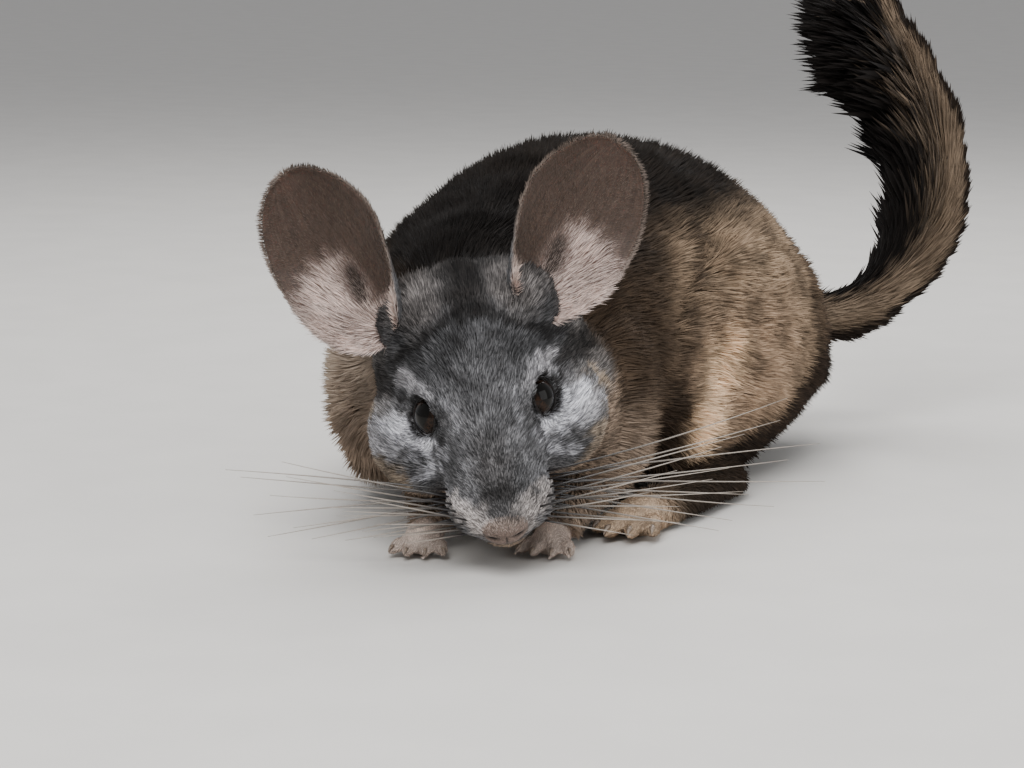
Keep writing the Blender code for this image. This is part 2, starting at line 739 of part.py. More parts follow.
def tail(torso):
    """The tail in lengths. Each is cut clear of the next one, whose locks its own lie over."""
    farther = None
    for name, start, end in reversed(TAIL_NODES):
        core, locks = tail_pieces(start, end)
        made = boolean(core, locks, "UNION")
        if farther:
            next_core, next_locks = tail_pieces(*farther, grow=GAP / MM)
            for piece in (next_core, *next_locks):
                boolean(made, [piece], "DIFFERENCE")
        farther = (start, end)
        named(made, name, "bristle")
    clear_of(made, [torso])


def centre_over_origin():
    """Moves the animal so that the bottom centre of its box is the origin."""
    points = [vert.co for made in PARTS.objects for vert in made.data.vertices]
    low = [min(point[k] for point in points) for k in range(3)]
    high = [max(point[k] for point in points) for k in range(3)]
    shift = Matrix.Translation((-(low[0] + high[0]) / 2, -(low[1] + high[1]) / 2, -low[2]))
    for made in PARTS.objects:
        made.data.transform(shift)


def main():
    rest = flesh()
    head = part_off(rest, "head", "coat_face", ball_cutter(*HEAD_BALL, HEAD))
    neck = part_off(rest, "neck", "coat_back", box_cutter((-FAR, -FAR, -FAR), (FAR, NECK_BACK, FAR)))
    thighs = {}
    for name, side in SIDES.items():
        (x, y, z), radii = THIGH_BALL
        cutter = ball_cutter((side * x, y, z), radii)
        thighs[name] = part_off(rest, f"thigh_{name}", "coat_flank", cutter)
    torso = named(rest, "torso", "coat_back")
    front_box = box_cutter((-FAR, -FAR, MOUTH_LEVEL), (FAR, MUZZLE_BACK, FAR), HEAD)
    muzzle = part_off(head, "muzzle", "coat_face", front_box)
    chin_box = box_cutter((-FAR, -FAR, -FAR), (FAR, JAW_BACK, MOUTH_LEVEL), HEAD)
    jaw = part_off(head, "jaw", "coat_pale", chin_box)

    for name in SIDES:
        set_eye(head, name)
    face_cuts(muzzle)
    boolean(muzzle, whiskers(1) + whiskers(-1), "UNION")

    for name in SIDES:
        named(clear_of(ear(name), [head, neck]), f"ear_{name}", "ear_skin")

    for name in SIDES:
        paw = named(forepaw(name), f"forepaw_{name}", "coat_pale")
        leg = clear_of(foreleg(name), [torso, neck, head, paw, jaw])
        named(leg, f"foreleg_{name}", "coat_flank")
        foot = clear_of(hind_foot(name), [torso, thighs[name], leg])
        named(foot, f"hind_foot_{name}", "coat_pale")

    tail(torso)
    centre_over_origin()


main()
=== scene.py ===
"""The looks of a life-size chinchilla that crouches with its head lowered and its tail raised.

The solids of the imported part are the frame. One skin lies inside them by the depth of the coat, and
the coat grows on it: small closed tufts that a Geometry Nodes tree sets along the lie of the fur.
Places on the body are millimetres in the part's own building frame: nose towards -Y, the animal's
left at +X, the floor at z = 0. Places on the head are millimetres in the head's own frame: X to its
left, -Y forward and Z up through the crown. MM turns them into metres.
"""
import math

import bmesh
import bpy
import numpy as np
from bpy.props import FloatProperty, FloatVectorProperty, IntProperty, PointerProperty
from mathutils import Matrix, Vector, noise as space_noise
from mathutils.bvhtree import BVHTree


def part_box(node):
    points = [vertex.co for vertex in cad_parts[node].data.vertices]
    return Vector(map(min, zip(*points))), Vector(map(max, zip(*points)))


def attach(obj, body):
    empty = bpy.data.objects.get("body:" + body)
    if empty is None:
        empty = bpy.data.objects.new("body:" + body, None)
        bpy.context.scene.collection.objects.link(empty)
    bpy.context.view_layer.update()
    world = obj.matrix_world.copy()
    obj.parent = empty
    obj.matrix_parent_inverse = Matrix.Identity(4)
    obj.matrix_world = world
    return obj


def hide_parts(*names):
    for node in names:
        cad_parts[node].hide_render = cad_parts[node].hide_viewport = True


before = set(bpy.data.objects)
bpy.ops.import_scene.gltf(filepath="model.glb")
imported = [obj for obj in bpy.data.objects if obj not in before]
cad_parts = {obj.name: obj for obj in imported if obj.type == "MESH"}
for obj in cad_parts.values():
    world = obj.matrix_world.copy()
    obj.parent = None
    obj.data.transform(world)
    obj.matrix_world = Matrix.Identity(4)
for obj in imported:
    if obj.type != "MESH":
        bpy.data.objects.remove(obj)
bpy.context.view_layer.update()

bl_info = {
    "name": "Crouching chinchilla",
    "version": (1, 0, 0),
    "blender": (4, 5, 0),
    "location": "View3D > Sidebar > Chinchilla",
    "description": "Skin, coat, eyes, ears, whiskers and studio of a life-size chinchilla",
    "category": "Object",
}

MM = 0.001
SIDES = {"left": 1, "right": -1}

# The head's place and how far it turns, dips and leans, as in the part's source.
HEAD_PLACE = Vector((35, -60.6, 45))
HEAD_TURN, HEAD_DIP, HEAD_LEAN = 40, 40.5, -13
# The left eye and its lids, in the head's frame: its place, the way it looks, its radius, its clear
# bulge and where that starts; the degrees that the lids open to, and their half width and height.
EYE_PLACE = Vector((13.3, -2.0, 1.2))
EYE_AXIS = Vector((0.78, -0.36, 0.51)).normalized()
EYE_RADIUS = 6.2
EYE_BULGE, EYE_BULGE_START = 0.05, 0.6
LID_OPENING, LID_WIDTH, LID_HEIGHT = 55, 0.7, 0.3
# How many degrees the lids reach further at the corner by the nose and at the other one, and less above
# and below.
LID_INNER, LID_OUTER, LID_FLAT = 7, 2.5, 4
# Balls that bound the head, the nose and a thigh: centre and radii.
HEAD_BALL = ((0, 0, -4), (47, 44, 40))
NOSE_BALL = ((0, -38.0, -9.6), (6.6, 4.4, 5.2))
THIGH_BALL = ((60, 68, 38), (30, 50, 46))
# Up the face, and out of it, in the head's frame.
FACE_UP, FACE_FRONT = Vector((0, 0.7815, 0.624)), Vector((0, -0.624, 0.7815))

NOSE_PLACE, NOSE_RADII = Vector((0, -34.2, -10.8)), (6.6, 5.0, 5.0)
# Forms on the nose pad in shares of its radii: the slit of a nostril, the ridge over it and the lobe
# under it, each by its place aside and up and its half widths; and the cleft's half width and top.
NOSTRIL_SLIT = ((0.58, 0.08), (0.32, 0.12))
NOSE_RIDGE, NOSE_LOBE = ((0.42, 0.42), (0.34, 0.20)), ((0.34, -0.30), (0.24, 0.26))
NOSE_CLEFT = (0.05, 0.22)

# Ears: the root in the head's frame, how far each leans outwards, and its length.
EARS = {
    "left": {"root": (14.6, 22.7, 8.5), "lean": 39, "length": 55},
    "right": {"root": (21.6, 21.7, 7.8), "lean": 24, "length": 56},
}
EAR_TURN, EAR_HALF_WIDTH = 27, 20.5
EAR_WIDEST, EAR_ROUNDNESS, EAR_BOW = 0.81, 2.3, 3.0
# The degrees of a circle that the cup closes: at its root, at EAR_OPENED of its height, and at its tip.
EAR_CLOSING, EAR_OPENED = (200, 75, 55), 0.62
# Half the wall's thickness at its edge and past the edge's share of the ear.
EAR_WALL, EAR_EDGE = (0.28, 0.58), 0.3
# Hair of the back and of the inside: its length, width and tufts on a square centimetre. What the fan at
# the notch and the fringe add to them, and the fan's place from the root, fade and wavy border.
EAR_HAIR = ((2.2, 1.3), (0.26, 0.11), (560, 260))
FAN_HAIR, FRINGE_DENSITY = (3.6, 0.02, 150), 420
FAN_CENTRE, FAN_FADE, FAN_WAVE, FAN_WAVES = (6.0, 17.0), (6, 19), 0.16, 9
# The hollow beside the fan, darkened with painted shade: its lower and upper ends and its half width.
EAR_HOLLOW = ((2.0, 14), (0.5, 23), 3.4)

# The line of the tail from the rump, and the point that its crest faces.
TAIL_PATH = [
    (13, 141, 38),
    (41, 165, 40),
    (56, 180, 47),
    (65, 195, 61),
    (69, 204, 81),
    (65, 207, 103),
    (56, 202, 126),
    (45, 195, 145),
]
TAIL_BEND_CENTRE = Vector((20, 175, 110))
TAIL_SAMPLES, POINTS_AT_ONCE = 160, 20000
# Its core under the hair: radius at its root and end, where its root lies as a share, rings and sides.
TAIL_SKIN, TAIL_ROOT, TAIL_RINGS, TAIL_SIDES = (4.8, 3.4), 0.02, 30, 14
# Where the body's mask gives way to the tail's, and how far from the line the tail reaches.
TAIL_START, TAIL_REACH = (140, 156), 30

# The skin's lumps and the fold before each thigh, in millimetres and lumps to a millimetre.
LUMP_SCALE, LUMP_HEIGHT, FOLD_DEPTH = 0.06, 1.6, 2.6

# How deep the skin lies under the outside of the coat, in millimetres: on the body, and then on the
# regions that the masks of Skin give, each over the ones before it.
BODY_DEPTH = 5.0
REGION_DEPTHS = (("on_head", 1.5), ("behind", 2.6), ("muzzle", 0.7), ("paw", 0.3), ("leg", 1.6))

# The fused skin, in millimetres: how far each solid grows to meet its neighbours, how far aside the
# muzzle's flesh reaches before its whiskers, and the size of its grid; the share of a smoothing step and
# the number of steps; and the share of its faces that stay.
GROWTH, MUZZLE_HALF_WIDTH, GRID = 0.25, 16.8, 0.85
SMOOTHING, FACES_KEPT = (0.5, 6), 0.42

# Toes: where the row starts on each foot, its heading, and each toe's shift, fan and length.
FOREPAWS = {
    "left": {"toes": (46.5, -43, 3.4), "heading": 14},
    "right": {"toes": (14.5, -61, 3.4), "heading": 22},
}
FOREPAW_ROW = ((-4.8, -20, 6), (-1.7, -6, 8), (1.7, 6, 8), (4.8, 20, 6.5))
FOREPAW_TOE = 1.8
HIND_FEET = {
    "left": {"toes": (56, -9, 4.6), "heading": 4},
    "right": {"toes": (-45, 27, 4.6), "heading": 2},
}
HIND_ROW = ((-5.4, -12, 9), (-1.6, -3, 13), (2.6, 6, 12), (6.2, 18, 8))
HIND_TOE = 2.5
# A claw in shares of its toe's radius: how far ahead and up its curve runs, and its radii.
CLAW_CURVE, CLAW_RADII = ((0, 0.25), (0.55, 0.3), (1.05, 0.05), (1.45, -0.4)), (0.36, 0.32, 0.2, 0.05)

FLESH = (
    "head", "muzzle", "jaw", "neck", "torso", "thigh_left", "thigh_right", "foreleg_left",
    "foreleg_right", "forepaw_left", "forepaw_right", "hind_foot_left", "hind_foot_right",
)
TAIL = ("tail_base", "tail_middle", "tail_tip")

# How far a tuft is shaded by its own form, against 1 for the skin that it grows on: fur looks soft.
OWN_NORMAL = 0.42

# Swirls in the lie of the fur, waves to a metre and strength; how far single tufts stray from it; and the
# shares of the set length that they are drawn between.
SWIRLS, LOOSENESS, TUFT_LENGTHS = ((75, 0.9), (340, 0.7)), 0.16, (0.72, 1.15)

# A tuft takes the colour of the place that its outer part lies over: this share of its length from the
# root, of a length up to this in metres.
SEEN_SHARE, SEEN_REACH = 0.7, 0.008

# How far each region's fur rises from the skin, in degrees.
BODY_LIFT, HEAD_LIFT, PAW_LIFT, TAIL_LIFT = 46, 26, 12, 17
# What is added to those on the muzzle, the heels and the tail's crest.
MUZZLE_LIFT, HEEL_LIFT, CREST_LIFT = -10, 14, 34

# How much single tufts are paler or darker than their place.
BODY_TICK, HEAD_TICK, PAW_TICK, EAR_TICK = 0.13, 0.48, 0.2, 0.2

# Fur of the feet and legs, in millimetres: its length, and what is added at the heels; width likewise;
# tufts on a square centimetre of the feet and of the tail; and the width of the tail's tufts.
PAW_FUR, HEEL_FUR, LEG_FUR = 1.4, 3.0, 5.0
PAW_WIDTH, HEEL_WIDTH, TAIL_WIDTH = 0.24, 0.14, 0.5
PAW_DENSITY, TAIL_DENSITY = 640, 900
# Hair of the tail, in millimetres: on its sides, on its crest at the root, and what the crest gains
# along the tail and loses at its end; and what the sides gain at the end.
TAIL_FUR, CREST_FUR, CREST_GAIN, CREST_LOSS, END_GAIN = 9.0, 10, 24, 7, 16
# A tuft's arch as a share of its length.
ARCH, EAR_ARCH = 0.07, 0.06

# Whiskers: the first one's root, the gaps aside and back to the next in its row and down to the next
# row, and how many are in a row. For each side, their share of the set length, the sweep back of the
# front and the rear ones, and the rise of the top and the bottom rows, in degrees.
WHISKER_ROOT, WHISKER_GAPS, WHISKER_COLUMNS = (10.6, -31.5, -8.8), (1.2, 2.9, -2.2), 5
WHISKER_FANS = {1: (1.0, (-12, 8), (6, -20)), -1: (0.74, (-30, 2), (22, -6))}

# The camera of the photo, in the building frame: its place, azimuth, elevation and lens.
CAMERA_PLACE = Vector((410.55, -695.53, 180.70))
CAMERA_AZIMUTH, CAMERA_ELEVATION, CAMERA_LENS = 30, 10, 95

# How far the floor lies under the claws in metres, the room's colour, and the soft lights round the
# animal: place and size in metres.
FLOOR_DROP, ROOM_COLOUR = 0.00005, (0.86, 0.87, 0.9, 1)
LIGHTS = {
    "key": ((0.25, -0.75, 0.95), 0.8),
    "fill": ((1.1, -0.1, 0.45), 0.9),
    "top": ((-0.15, 0.45, 0.9), 0.7),
}

# Colours of the coat, linear.
TONES = {
    "nape": (0.006, 0.0042, 0.0032),
    "back": (0.010, 0.0066, 0.0043),
    "shoulder": (0.062, 0.041, 0.026),
    "flank": (0.255, 0.183, 0.122),
    "flank_low": (0.35, 0.245, 0.165),
    # Dark fur of the rump, darkened further with painted shade for the band along its outline.
    "rump": (0.050, 0.032, 0.020),
    "belly": (0.72, 0.52, 0.34),
    "chest": (0.26, 0.195, 0.145),
    # Pale grey fur on one side of the neck, painted lighter still to offset the shade that falls there.
    "neck_side": (0.40, 0.32, 0.25),
    "crown": (0.034, 0.0315, 0.031),
    "crown_pale": (0.13, 0.118, 0.113),
    "face": (0.128, 0.127, 0.132),
    "cheek": (0.165, 0.15, 0.14),
    "cheek_spot": (0.30, 0.235, 0.17),
    "bridge": (0.080, 0.077, 0.078),
    "pale": (0.54, 0.54, 0.575),
    "brow": (0.39, 0.38, 0.395),
    "pad": (0.46, 0.42, 0.40),
    "nose": (0.27, 0.215, 0.185),
    "black": (0.008, 0.0065, 0.006),
    "paw": (0.62, 0.51, 0.44),
    "toe_pale": (0.54, 0.40, 0.28),
    "hind_foot": (0.035, 0.024, 0.016),
    # Dark fur with painted shade: the fold before each thigh, the low edge and the rear.
    "dark_fur_and_shade": (0.018, 0.011, 0.007),
    "tail_side": (0.175, 0.128, 0.088),
    "tail_crest": (0.006, 0.0042, 0.0035),
    "tail_rim": (0.016, 0.010, 0.0065),
    "ear_back": (0.05, 0.042, 0.037),
    "ear_down": (0.115, 0.085, 0.068),
    "ear_edge": (0.24, 0.19, 0.16),
    "ear_fan": (0.76, 0.62, 0.56),
    # Painted shade in the ear's hollow.
    "ear_hollow_shade": (0.07, 0.053, 0.043),
    "lid_skin": (0.010, 0.008, 0.0075),
    "nose_skin": (0.16, 0.115, 0.095),
}

# Marks of the face on its folded map, each with its tone, the corners of its line, its half width and
# its strength. A place on the map is how far aside it is and how far up the face, in millimetres, and
# later marks lie over earlier ones.
FACE_MARKS = (
    ("black", ((1.2, 56), (0.8, 40), (1.2, 27)), 4.4, 0.85),
    ("black", ((23, 16.3), (16, 19.6), (9.5, 22.7), (3, 26.8)), 1.7, 0.75),
    ("black", ((26, 9), (33, 14)), 5.0, 0.8),
    *(("black", ((x, y), (x + 1.2, y + 1.6)), 2.0, 0.5)
      for x, y in ((1.4, -16.5), (0.8, -24.5), (5.0, 8.0), (4.2, 17.0))),
    ("brow", ((20.8, 10.6), (17.4, 8.0), (14.2, 5.2)), 3.0, 0.85),
    ("pale", ((8.6, -5), (9.8, 3)), 1.8, 0.25),
    ("pale", ((29.5, -0.5), (15.6, -10.2)), 4.4, 0.92),
    ("pale", ((22.5, -17.2), (15.8, -14.2)), 2.0, 0.7),
    ("pale", ((33, -4), (27, -9)), 2.8, 0.5),
    ("cheek_spot", ((32.5, -12), (26, -20.5)), 3.2, 0.75),
    *(("cheek_spot", ((x, y), (x + 1, y - 2)), 1.8, 0.75)
      for x, y in ((35.5, -4), (34, 2.5), (35.8, -11), (31.8, 5.5))),
    ("pad", ((13.0, -25), (6.0, -33.6)), 3.6, 0.8),
    ("pad", ((5.0, -28), (7.0, -32)), 3.0, 0.35),
    ("black", ((12.6, -5.2), (15.2, -12.6)), 0.9, 0.8),
    ("black", ((22.8, 5.6), (19.4, 3.4), (17.4, 1.0)), 1.5, 0.9),
    ("black", ((23.5, 4.0), (21.5, -0.5)), 1.6, 0.6),
)
# The marks' borders wander by this in millimetres, at these waves to a millimetre aside and up.
WAVE_HEIGHT, WAVE_SCALES = 2.6, (0.30, 0.34)

# Lines on the body's side by their places along and up it: the pale belly wedge, and the fold line
# of painted shade; and the height of the low edge, dark fur with painted shade, at places along it.
BELLY_WEDGE = ((49, 46), (39, 35), (31, 22))
FOLD_LINE = ((52, 84), (38, 66), (31, 54), (25, 42), (20, 28), (18, 18))
LOW_EDGE = ((20, 37, 57, 70, 92, 105, 124), (6, 12.5, 15.5, 19, 25, 33, 42))

# The slit of each nostril and the cleft, where the fur is painted black as shade, by their places aside and
# up in the head's frame.
NOSTRIL, CLEFT = ((2.4, -10.2), (5.6, -10.9)), ((0, -9.6), (0, -13))


def head_frame():
    """The head's own frame, set by the middle between the two eyes of the solids."""
    turn = Matrix.Rotation(math.radians(HEAD_TURN), 4, "Z")
    dip = Matrix.Rotation(math.radians(HEAD_DIP), 4, "X")
    lean = Matrix.Rotation(math.radians(HEAD_LEAN), 4, "Y")
    turned = turn @ dip @ lean
    low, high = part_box("eye_left")
    low_right, high_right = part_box("eye_right")
    between = (low + high + low_right + high_right) / 4
    centre = between - turned @ Vector((0, EYE_PLACE.y, EYE_PLACE.z)) * MM
    return Matrix.Translation(centre) @ turned


HEAD = head_frame()
BODY = Matrix.Translation(HEAD.translation - HEAD_PLACE * MM)


class CoatSizes(bpy.types.PropertyGroup):
    """Lengths and thickness of growth of the fur."""
    body_length: FloatProperty(name="Body fur", description="Length of a tuft on the back and flanks",
                               default=0.0078, unit="LENGTH")
    body_width: FloatProperty(name="Body tuft width", description="Widest part of a tuft on the body",
                              default=0.00052, unit="LENGTH")
    face_length: FloatProperty(name="Face fur", description="Length of a tuft on the face",
                               default=0.0029, unit="LENGTH")
    face_width: FloatProperty(name="Face tuft width", description="Widest part of a tuft on the face",
                              default=0.00036, unit="LENGTH")
    body_density: FloatProperty(name="Body tufts", description="Tufts on a square centimetre of the body",
                                default=340, min=1)
    face_density: FloatProperty(name="Face tufts", description="Tufts on a square centimetre of the face",
                                default=740, min=1)
    patch: FloatProperty(name="Bake patch", description="Side of one tuft's patch in the OFBake map",
                         default=0.003)
    seed: IntProperty(name="Seed", description="Start of the random draws of the coat", default=5)


class FaceSizes(bpy.types.PropertyGroup):
    """Sizes and colours of the bare parts."""
    whisker_count: IntProperty(name="Whiskers", description="Whiskers on each side", default=20, min=1)
    whisker_length: FloatProperty(name="Whisker length", description="Length of the longest whisker",
                                  default=0.082, unit="LENGTH")
    whisker_radius: FloatProperty(name="Whisker radius", description="Radius of a whisker at its root",
                                  default=0.00032, unit="LENGTH")
    eye_colour: FloatVectorProperty(name="Eye", description="Colour of the iris", subtype="COLOR",
                                    default=(0.016, 0.008, 0.0045))
    ear_colour: FloatVectorProperty(name="Ear", description="Bare skin inside the ears", subtype="COLOR",
                                    default=(0.056, 0.037, 0.028))
    claw_colour: FloatVectorProperty(name="Claws", description="Horn of the claws", subtype="COLOR",
                                     default=(0.20, 0.155, 0.12))


class StageSizes(bpy.types.PropertyGroup):
    """The studio round the animal."""
    floor_radius: FloatProperty(name="Floor", description="Radius of the floor", default=9.0, unit="LENGTH")
    floor_colour: FloatVectorProperty(name="Floor colour", description="Colour of the plain floor",
                                      subtype="COLOR", default=(0.62, 0.60, 0.57))
    key_power: FloatProperty(name="Key light", description="Power of the main soft light",
                             default=17.0, unit="POWER")
    fill_power: FloatProperty(name="Fill light", description="Power of the light that opens the shadows",
                              default=5.0, unit="POWER")
    top_power: FloatProperty(name="Top light", description="Power of the light over the back",
                             default=9.0, unit="POWER")
    sky: FloatProperty(name="Room light", description="Strength of the even light of the room",
                       default=0.55)


# Meshes and numbers

def positions(mesh):
    values = np.empty(len(mesh.vertices) * 3, np.float32)
    mesh.vertices.foreach_get("co", values)
    return values.reshape(-1, 3).astype(float)


def normals(mesh):
    values = np.empty(len(mesh.vertices) * 3, np.float32)
    mesh.vertex_normals.foreach_get("vector", values)
    return values.reshape(-1, 3).astype(float)


def move_points(mesh, points):
    mesh.vertices.foreach_set("co", points.astype(np.float32).ravel())
    mesh.update()


def keep_values(mesh, name, kind, values, domain="POINT"):
    """Stores one value for each point, corner or face of a mesh under a name."""
    layer = mesh.attributes.new(name, kind, domain)
    key = {"FLOAT": "value", "INT": "value", "FLOAT_COLOR": "color"}.get(kind, "vector")
    dtype = np.int32 if kind == "INT" else np.float32
    layer.data.foreach_set(key, np.ascontiguousarray(values, dtype).ravel())


def in_frame(matrix, points):
    """Points of the row frame, in millimetres of another frame."""
    inverse = np.array(matrix.inverted())
    return (points @ inverse[:3, :3].T + inverse[:3, 3]) / MM


def ramp(values, start, end):
    """0 before start, 1 after end, and smooth between them. Start may be above end."""
    share = np.clip((values - start) / (end - start), 0, 1)
    return share * share * (3 - 2 * share)


def blob(points, centre, radii, soft=0.35):
    """1 inside a stretched ball and 0 outside, smooth over a share of its radius."""
    reach = np.linalg.norm((points - np.array(centre)) / np.array(radii), axis=1)
    return 1 - ramp(reach, 1 - soft, 1 + soft)


def streak(places, start, end, half_width):
    """1 on a line between two places of a flat map, narrower at its ends and fading to 0 beside it."""
    start, end = np.array(start, float), np.array(end, float)
    along = end - start
    share = np.clip((places - start) @ along / (along @ along), 0, 1)
    away = np.linalg.norm(places - start - share[:, None] * along, axis=1)
    taper = 0.55 + 0.45 * np.sin(np.pi * (0.15 + 0.7 * share))
    return 1 - ramp(away / (half_width * taper), 0.35, 1.3)


def trail(places, corners, half_width):
    """1 along a line through several corners, fading to 0 beside it."""
    marks = [streak(places, first, second, half_width) for first, second in zip(corners, corners[1:])]
    return np.max(marks, axis=0)


def unit(vectors):
    return vectors / np.maximum(np.linalg.norm(vectors, axis=1, keepdims=True), 1e-9)


def toward(value, target, share):
    """A value moved to its target by a share of the way."""
    return value + (target - value) * share


def blend(first, second, weight):
    """Rows moved to one row, or each to its own, by a weight for each row."""
    return first + (np.asarray(second) - first) * np.asarray(weight)[:, None]


def new_object(name, mesh):
    made = bpy.data.objects.new(name, mesh)
    bpy.context.scene.collection.objects.link(made)
    return made


def from_bmesh(name, shape):
    mesh = bpy.data.meshes.new(name)
    shape.to_mesh(mesh)
    shape.free()
    return new_object(name, mesh)


def apply_modifiers(obj):
    """Puts the mesh that an object's modifiers make in place of its own."""
    bpy.context.view_layer.update()
    graph = bpy.context.evaluated_depsgraph_get()
    mesh = bpy.data.meshes.new_from_object(obj.evaluated_get(graph))
    obj.modifiers.clear()
    old, obj.data = obj.data, mesh
    bpy.data.meshes.remove(old)


def dress(obj, materials, nodes=()):
    """Gives a finished piece its materials, and says what it rides on and stands for."""
    obj.data.materials.clear()
    for material in materials:
        obj.data.materials.append(material)
    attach(obj, "root")
    if nodes:
        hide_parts(*nodes)


def spline(rows, share):
    """A value row on the smooth curve through rows, at a share from 0 to 1 of their count."""
    place = max(0.0, min(1.0, share)) * (len(rows) - 1)
    i = min(int(place), len(rows) - 2)
    t = place - i
    a, b, c, d = (rows[max(0, min(len(rows) - 1, i + k))] for k in (-1, 0, 1, 2))
    return [
        0.5 * (2 * q + (r - p) * t + (2 * p - 5 * q + 4 * r - s) * t**2 + (3 * q - p - 3 * r + s) * t**3)
        for p, q, r, s in zip(a, b, c, d)
    ]


def wall(shape, low, high):
    """Adds the faces between two closed loops of as many points."""
    for k in range(len(low)):
        beside = (k + 1) % len(low)
        shape.faces.new((low[k], low[beside], high[beside], high[k]))


def tube(shape, centres, radii, sides):
    """Adds a closed tapered tube through centres, which are in metres."""
    count = len(centres)
    loops = []
    across = (centres[1] - centres[0]).cross(Vector((0.3, 0.2, 1))).normalized()
    for i, (centre, radius) in enumerate(zip(centres, radii)):
        along = (centres[min(i + 1, count - 1)] - centres[max(i - 1, 0)]).normalized()
        across = (across - along * across.dot(along)).normalized()
        upper = along.cross(across)
        loops.append([
            shape.verts.new(centre + (across * math.cos(a) + upper * math.sin(a)) * radius)
            for a in (2 * math.pi * k / sides for k in range(sides))
        ])
    for low, high in zip(loops, loops[1:]):
        wall(shape, low, high)
    shape.faces.new(list(reversed(loops[0])))
    shape.faces.new(loops[-1])


# Node trees

def add(tree, kind, inputs=None, **settings):
    """A new node with its settings, and its inputs by name or number as values or as sockets."""
    node = tree.nodes.new(kind)
    for name, value in settings.items():
        setattr(node, name, value)
    for key, value in (inputs or {}).items():
        socket = node.inputs[key]
        if isinstance(value, bpy.types.NodeSocket):
            tree.links.new(value, socket)
        else:
            socket.default_value = value
    return node


def maths(tree, operation, first, second=0.0):
    return add(tree, "ShaderNodeMath", {0: first, 1: second}, operation=operation).outputs[0]


def vector_maths(tree, operation, first, second=(0, 0, 0)):
    made = add(tree, "ShaderNodeVectorMath", {0: first, 1: second}, operation=operation)
    return made.outputs["Vector"]


def scaled(tree, vector, factor):
    made = add(tree, "ShaderNodeVectorMath", {0: vector, "Scale": factor}, operation="SCALE")
    return made.outputs["Vector"]


def remap(tree, value, low, high, to_low, to_high):
    made = add(tree, "ShaderNodeMapRange",
               {"Value": value, "From Min": low, "From Max": high, "To Min": to_low, "To Max": to_high},
               interpolation_type="SMOOTHSTEP")
    return made.outputs[0]


def noise(tree, place, scale, detail=2.0, roughness=0.5):
    inputs = {"Vector": place, "Scale": scale, "Detail": detail, "Roughness": roughness}
    return add(tree, "ShaderNodeTexNoise", inputs)


def mixed(tree, factor, first, second):
    made = add(tree, "ShaderNodeMix", {0: factor, 6: first, 7: second}, data_type="RGBA")
    return made.outputs[2]


def attribute(tree, name):
    return add(tree, "ShaderNodeAttribute", attribute_name=name)


def new_material(name, roughness, specular=0.5, sheen=0.0):
    material = bpy.data.materials.new(name)
    material.use_nodes = True
    shader = material.node_tree.nodes["Principled BSDF"]
    shader.inputs["Roughness"].default_value = roughness
    shader.inputs["Specular IOR Level"].default_value = specular
    shader.inputs["Sheen Weight"].default_value = sheen
    shader.inputs["Sheen Roughness"].default_value = 0.5
    return material, material.node_tree, shader


def paint(tree, shader, colour):
    tree.links.new(colour, shader.inputs["Base Color"])


def grained(tree, scale, detail, roughness, ends, shades):
    """A fine grain, and the factor that it shades a colour by where it runs from one end to the other."""
    place = add(tree, "ShaderNodeTexCoord").outputs["Object"]
    grain = noise(tree, place, scale, detail, roughness).outputs["Fac"]
    return grain, remap(tree, grain, *ends, *shades)


def roughen(tree, shader, height, strength, distance):
    """Raises the surface by a height field, to a distance in metres."""
    bump = add(tree, "ShaderNodeBump", {"Strength": strength, "Distance": distance, "Height": height})
    tree.links.new(bump.outputs["Normal"], shader.inputs["Normal"])


def marking(tree):
    """The coat's colour at a place: the regional tone, broken into lighter and darker patches."""
    place = add(tree, "ShaderNodeTexCoord").outputs["Object"]
    tone = attribute(tree, "tone")
    patches = noise(tree, place, 105, 1.6, 0.5).outputs["Fac"]
    streaks = noise(tree, place, 360, 2.0, 0.6).outputs["Fac"]
    both = maths(tree, "ADD", maths(tree, "MULTIPLY", patches, 0.7), maths(tree, "MULTIPLY", streaks, 0.3))
    swing = remap(tree, both, 0.36, 0.62, -1.0, 0.85)
    factor = maths(tree, "ADD", 1.0, maths(tree, "MULTIPLY", swing, tone.outputs["Alpha"]))
    return scaled(tree, tone.outputs["Color"], factor), place


def coat_material():
    """Fur: dark at the root, the marking's colour above it, and ticked tips that differ by tuft."""
    material, tree, shader = new_material("coat", 0.7, 0.14, 0.03)
    colour, place = marking(tree)
    leaf = add(tree, "ShaderNodeSeparateXYZ", {0: attribute(tree, "leaf").outputs["Vector"]})
    along = leaf.outputs["Y"]
    draw = attribute(tree, "draw").outputs["Fac"]
    strand = add(tree, "ShaderNodeCombineXYZ", {0: maths(tree, "MULTIPLY", leaf.outputs["X"], 3.2),
                                                1: along, 2: maths(tree, "MULTIPLY", draw, 60.0)})
    strands = noise(tree, strand.outputs[0], 1.6, 1.0).outputs["Fac"]
    rooted = maths(tree, "MULTIPLY", remap(tree, along, 0.0, 0.6, 0.55, 1.0),
                   remap(tree, strands, 0.35, 0.65, 0.82, 1.15))
    tick = attribute(tree, "tick").outputs["Fac"]
    ticked = maths(tree, "ADD", 1.0, maths(tree, "MULTIPLY", remap(tree, draw, 0.0, 1.0, -1.0, 1.0), tick))
    tips = remap(tree, along, 0.55, 1.0, 0.0, 1.0)
    fine = noise(tree, place, 900, 1.0).outputs["Fac"]
    chosen = remap(tree, maths(tree, "ADD", draw, fine), 1.05, 0.75, 0.0, 1.5)
    dark_tip = maths(tree, "MULTIPLY", maths(tree, "MULTIPLY", tips, chosen), tick)
    shaded = maths(tree, "MULTIPLY", rooted, ticked)
    factor = maths(tree, "MULTIPLY", shaded, maths(tree, "SUBTRACT", 1.0, dark_tip))
    paint(tree, shader, scaled(tree, colour, factor))
    return material


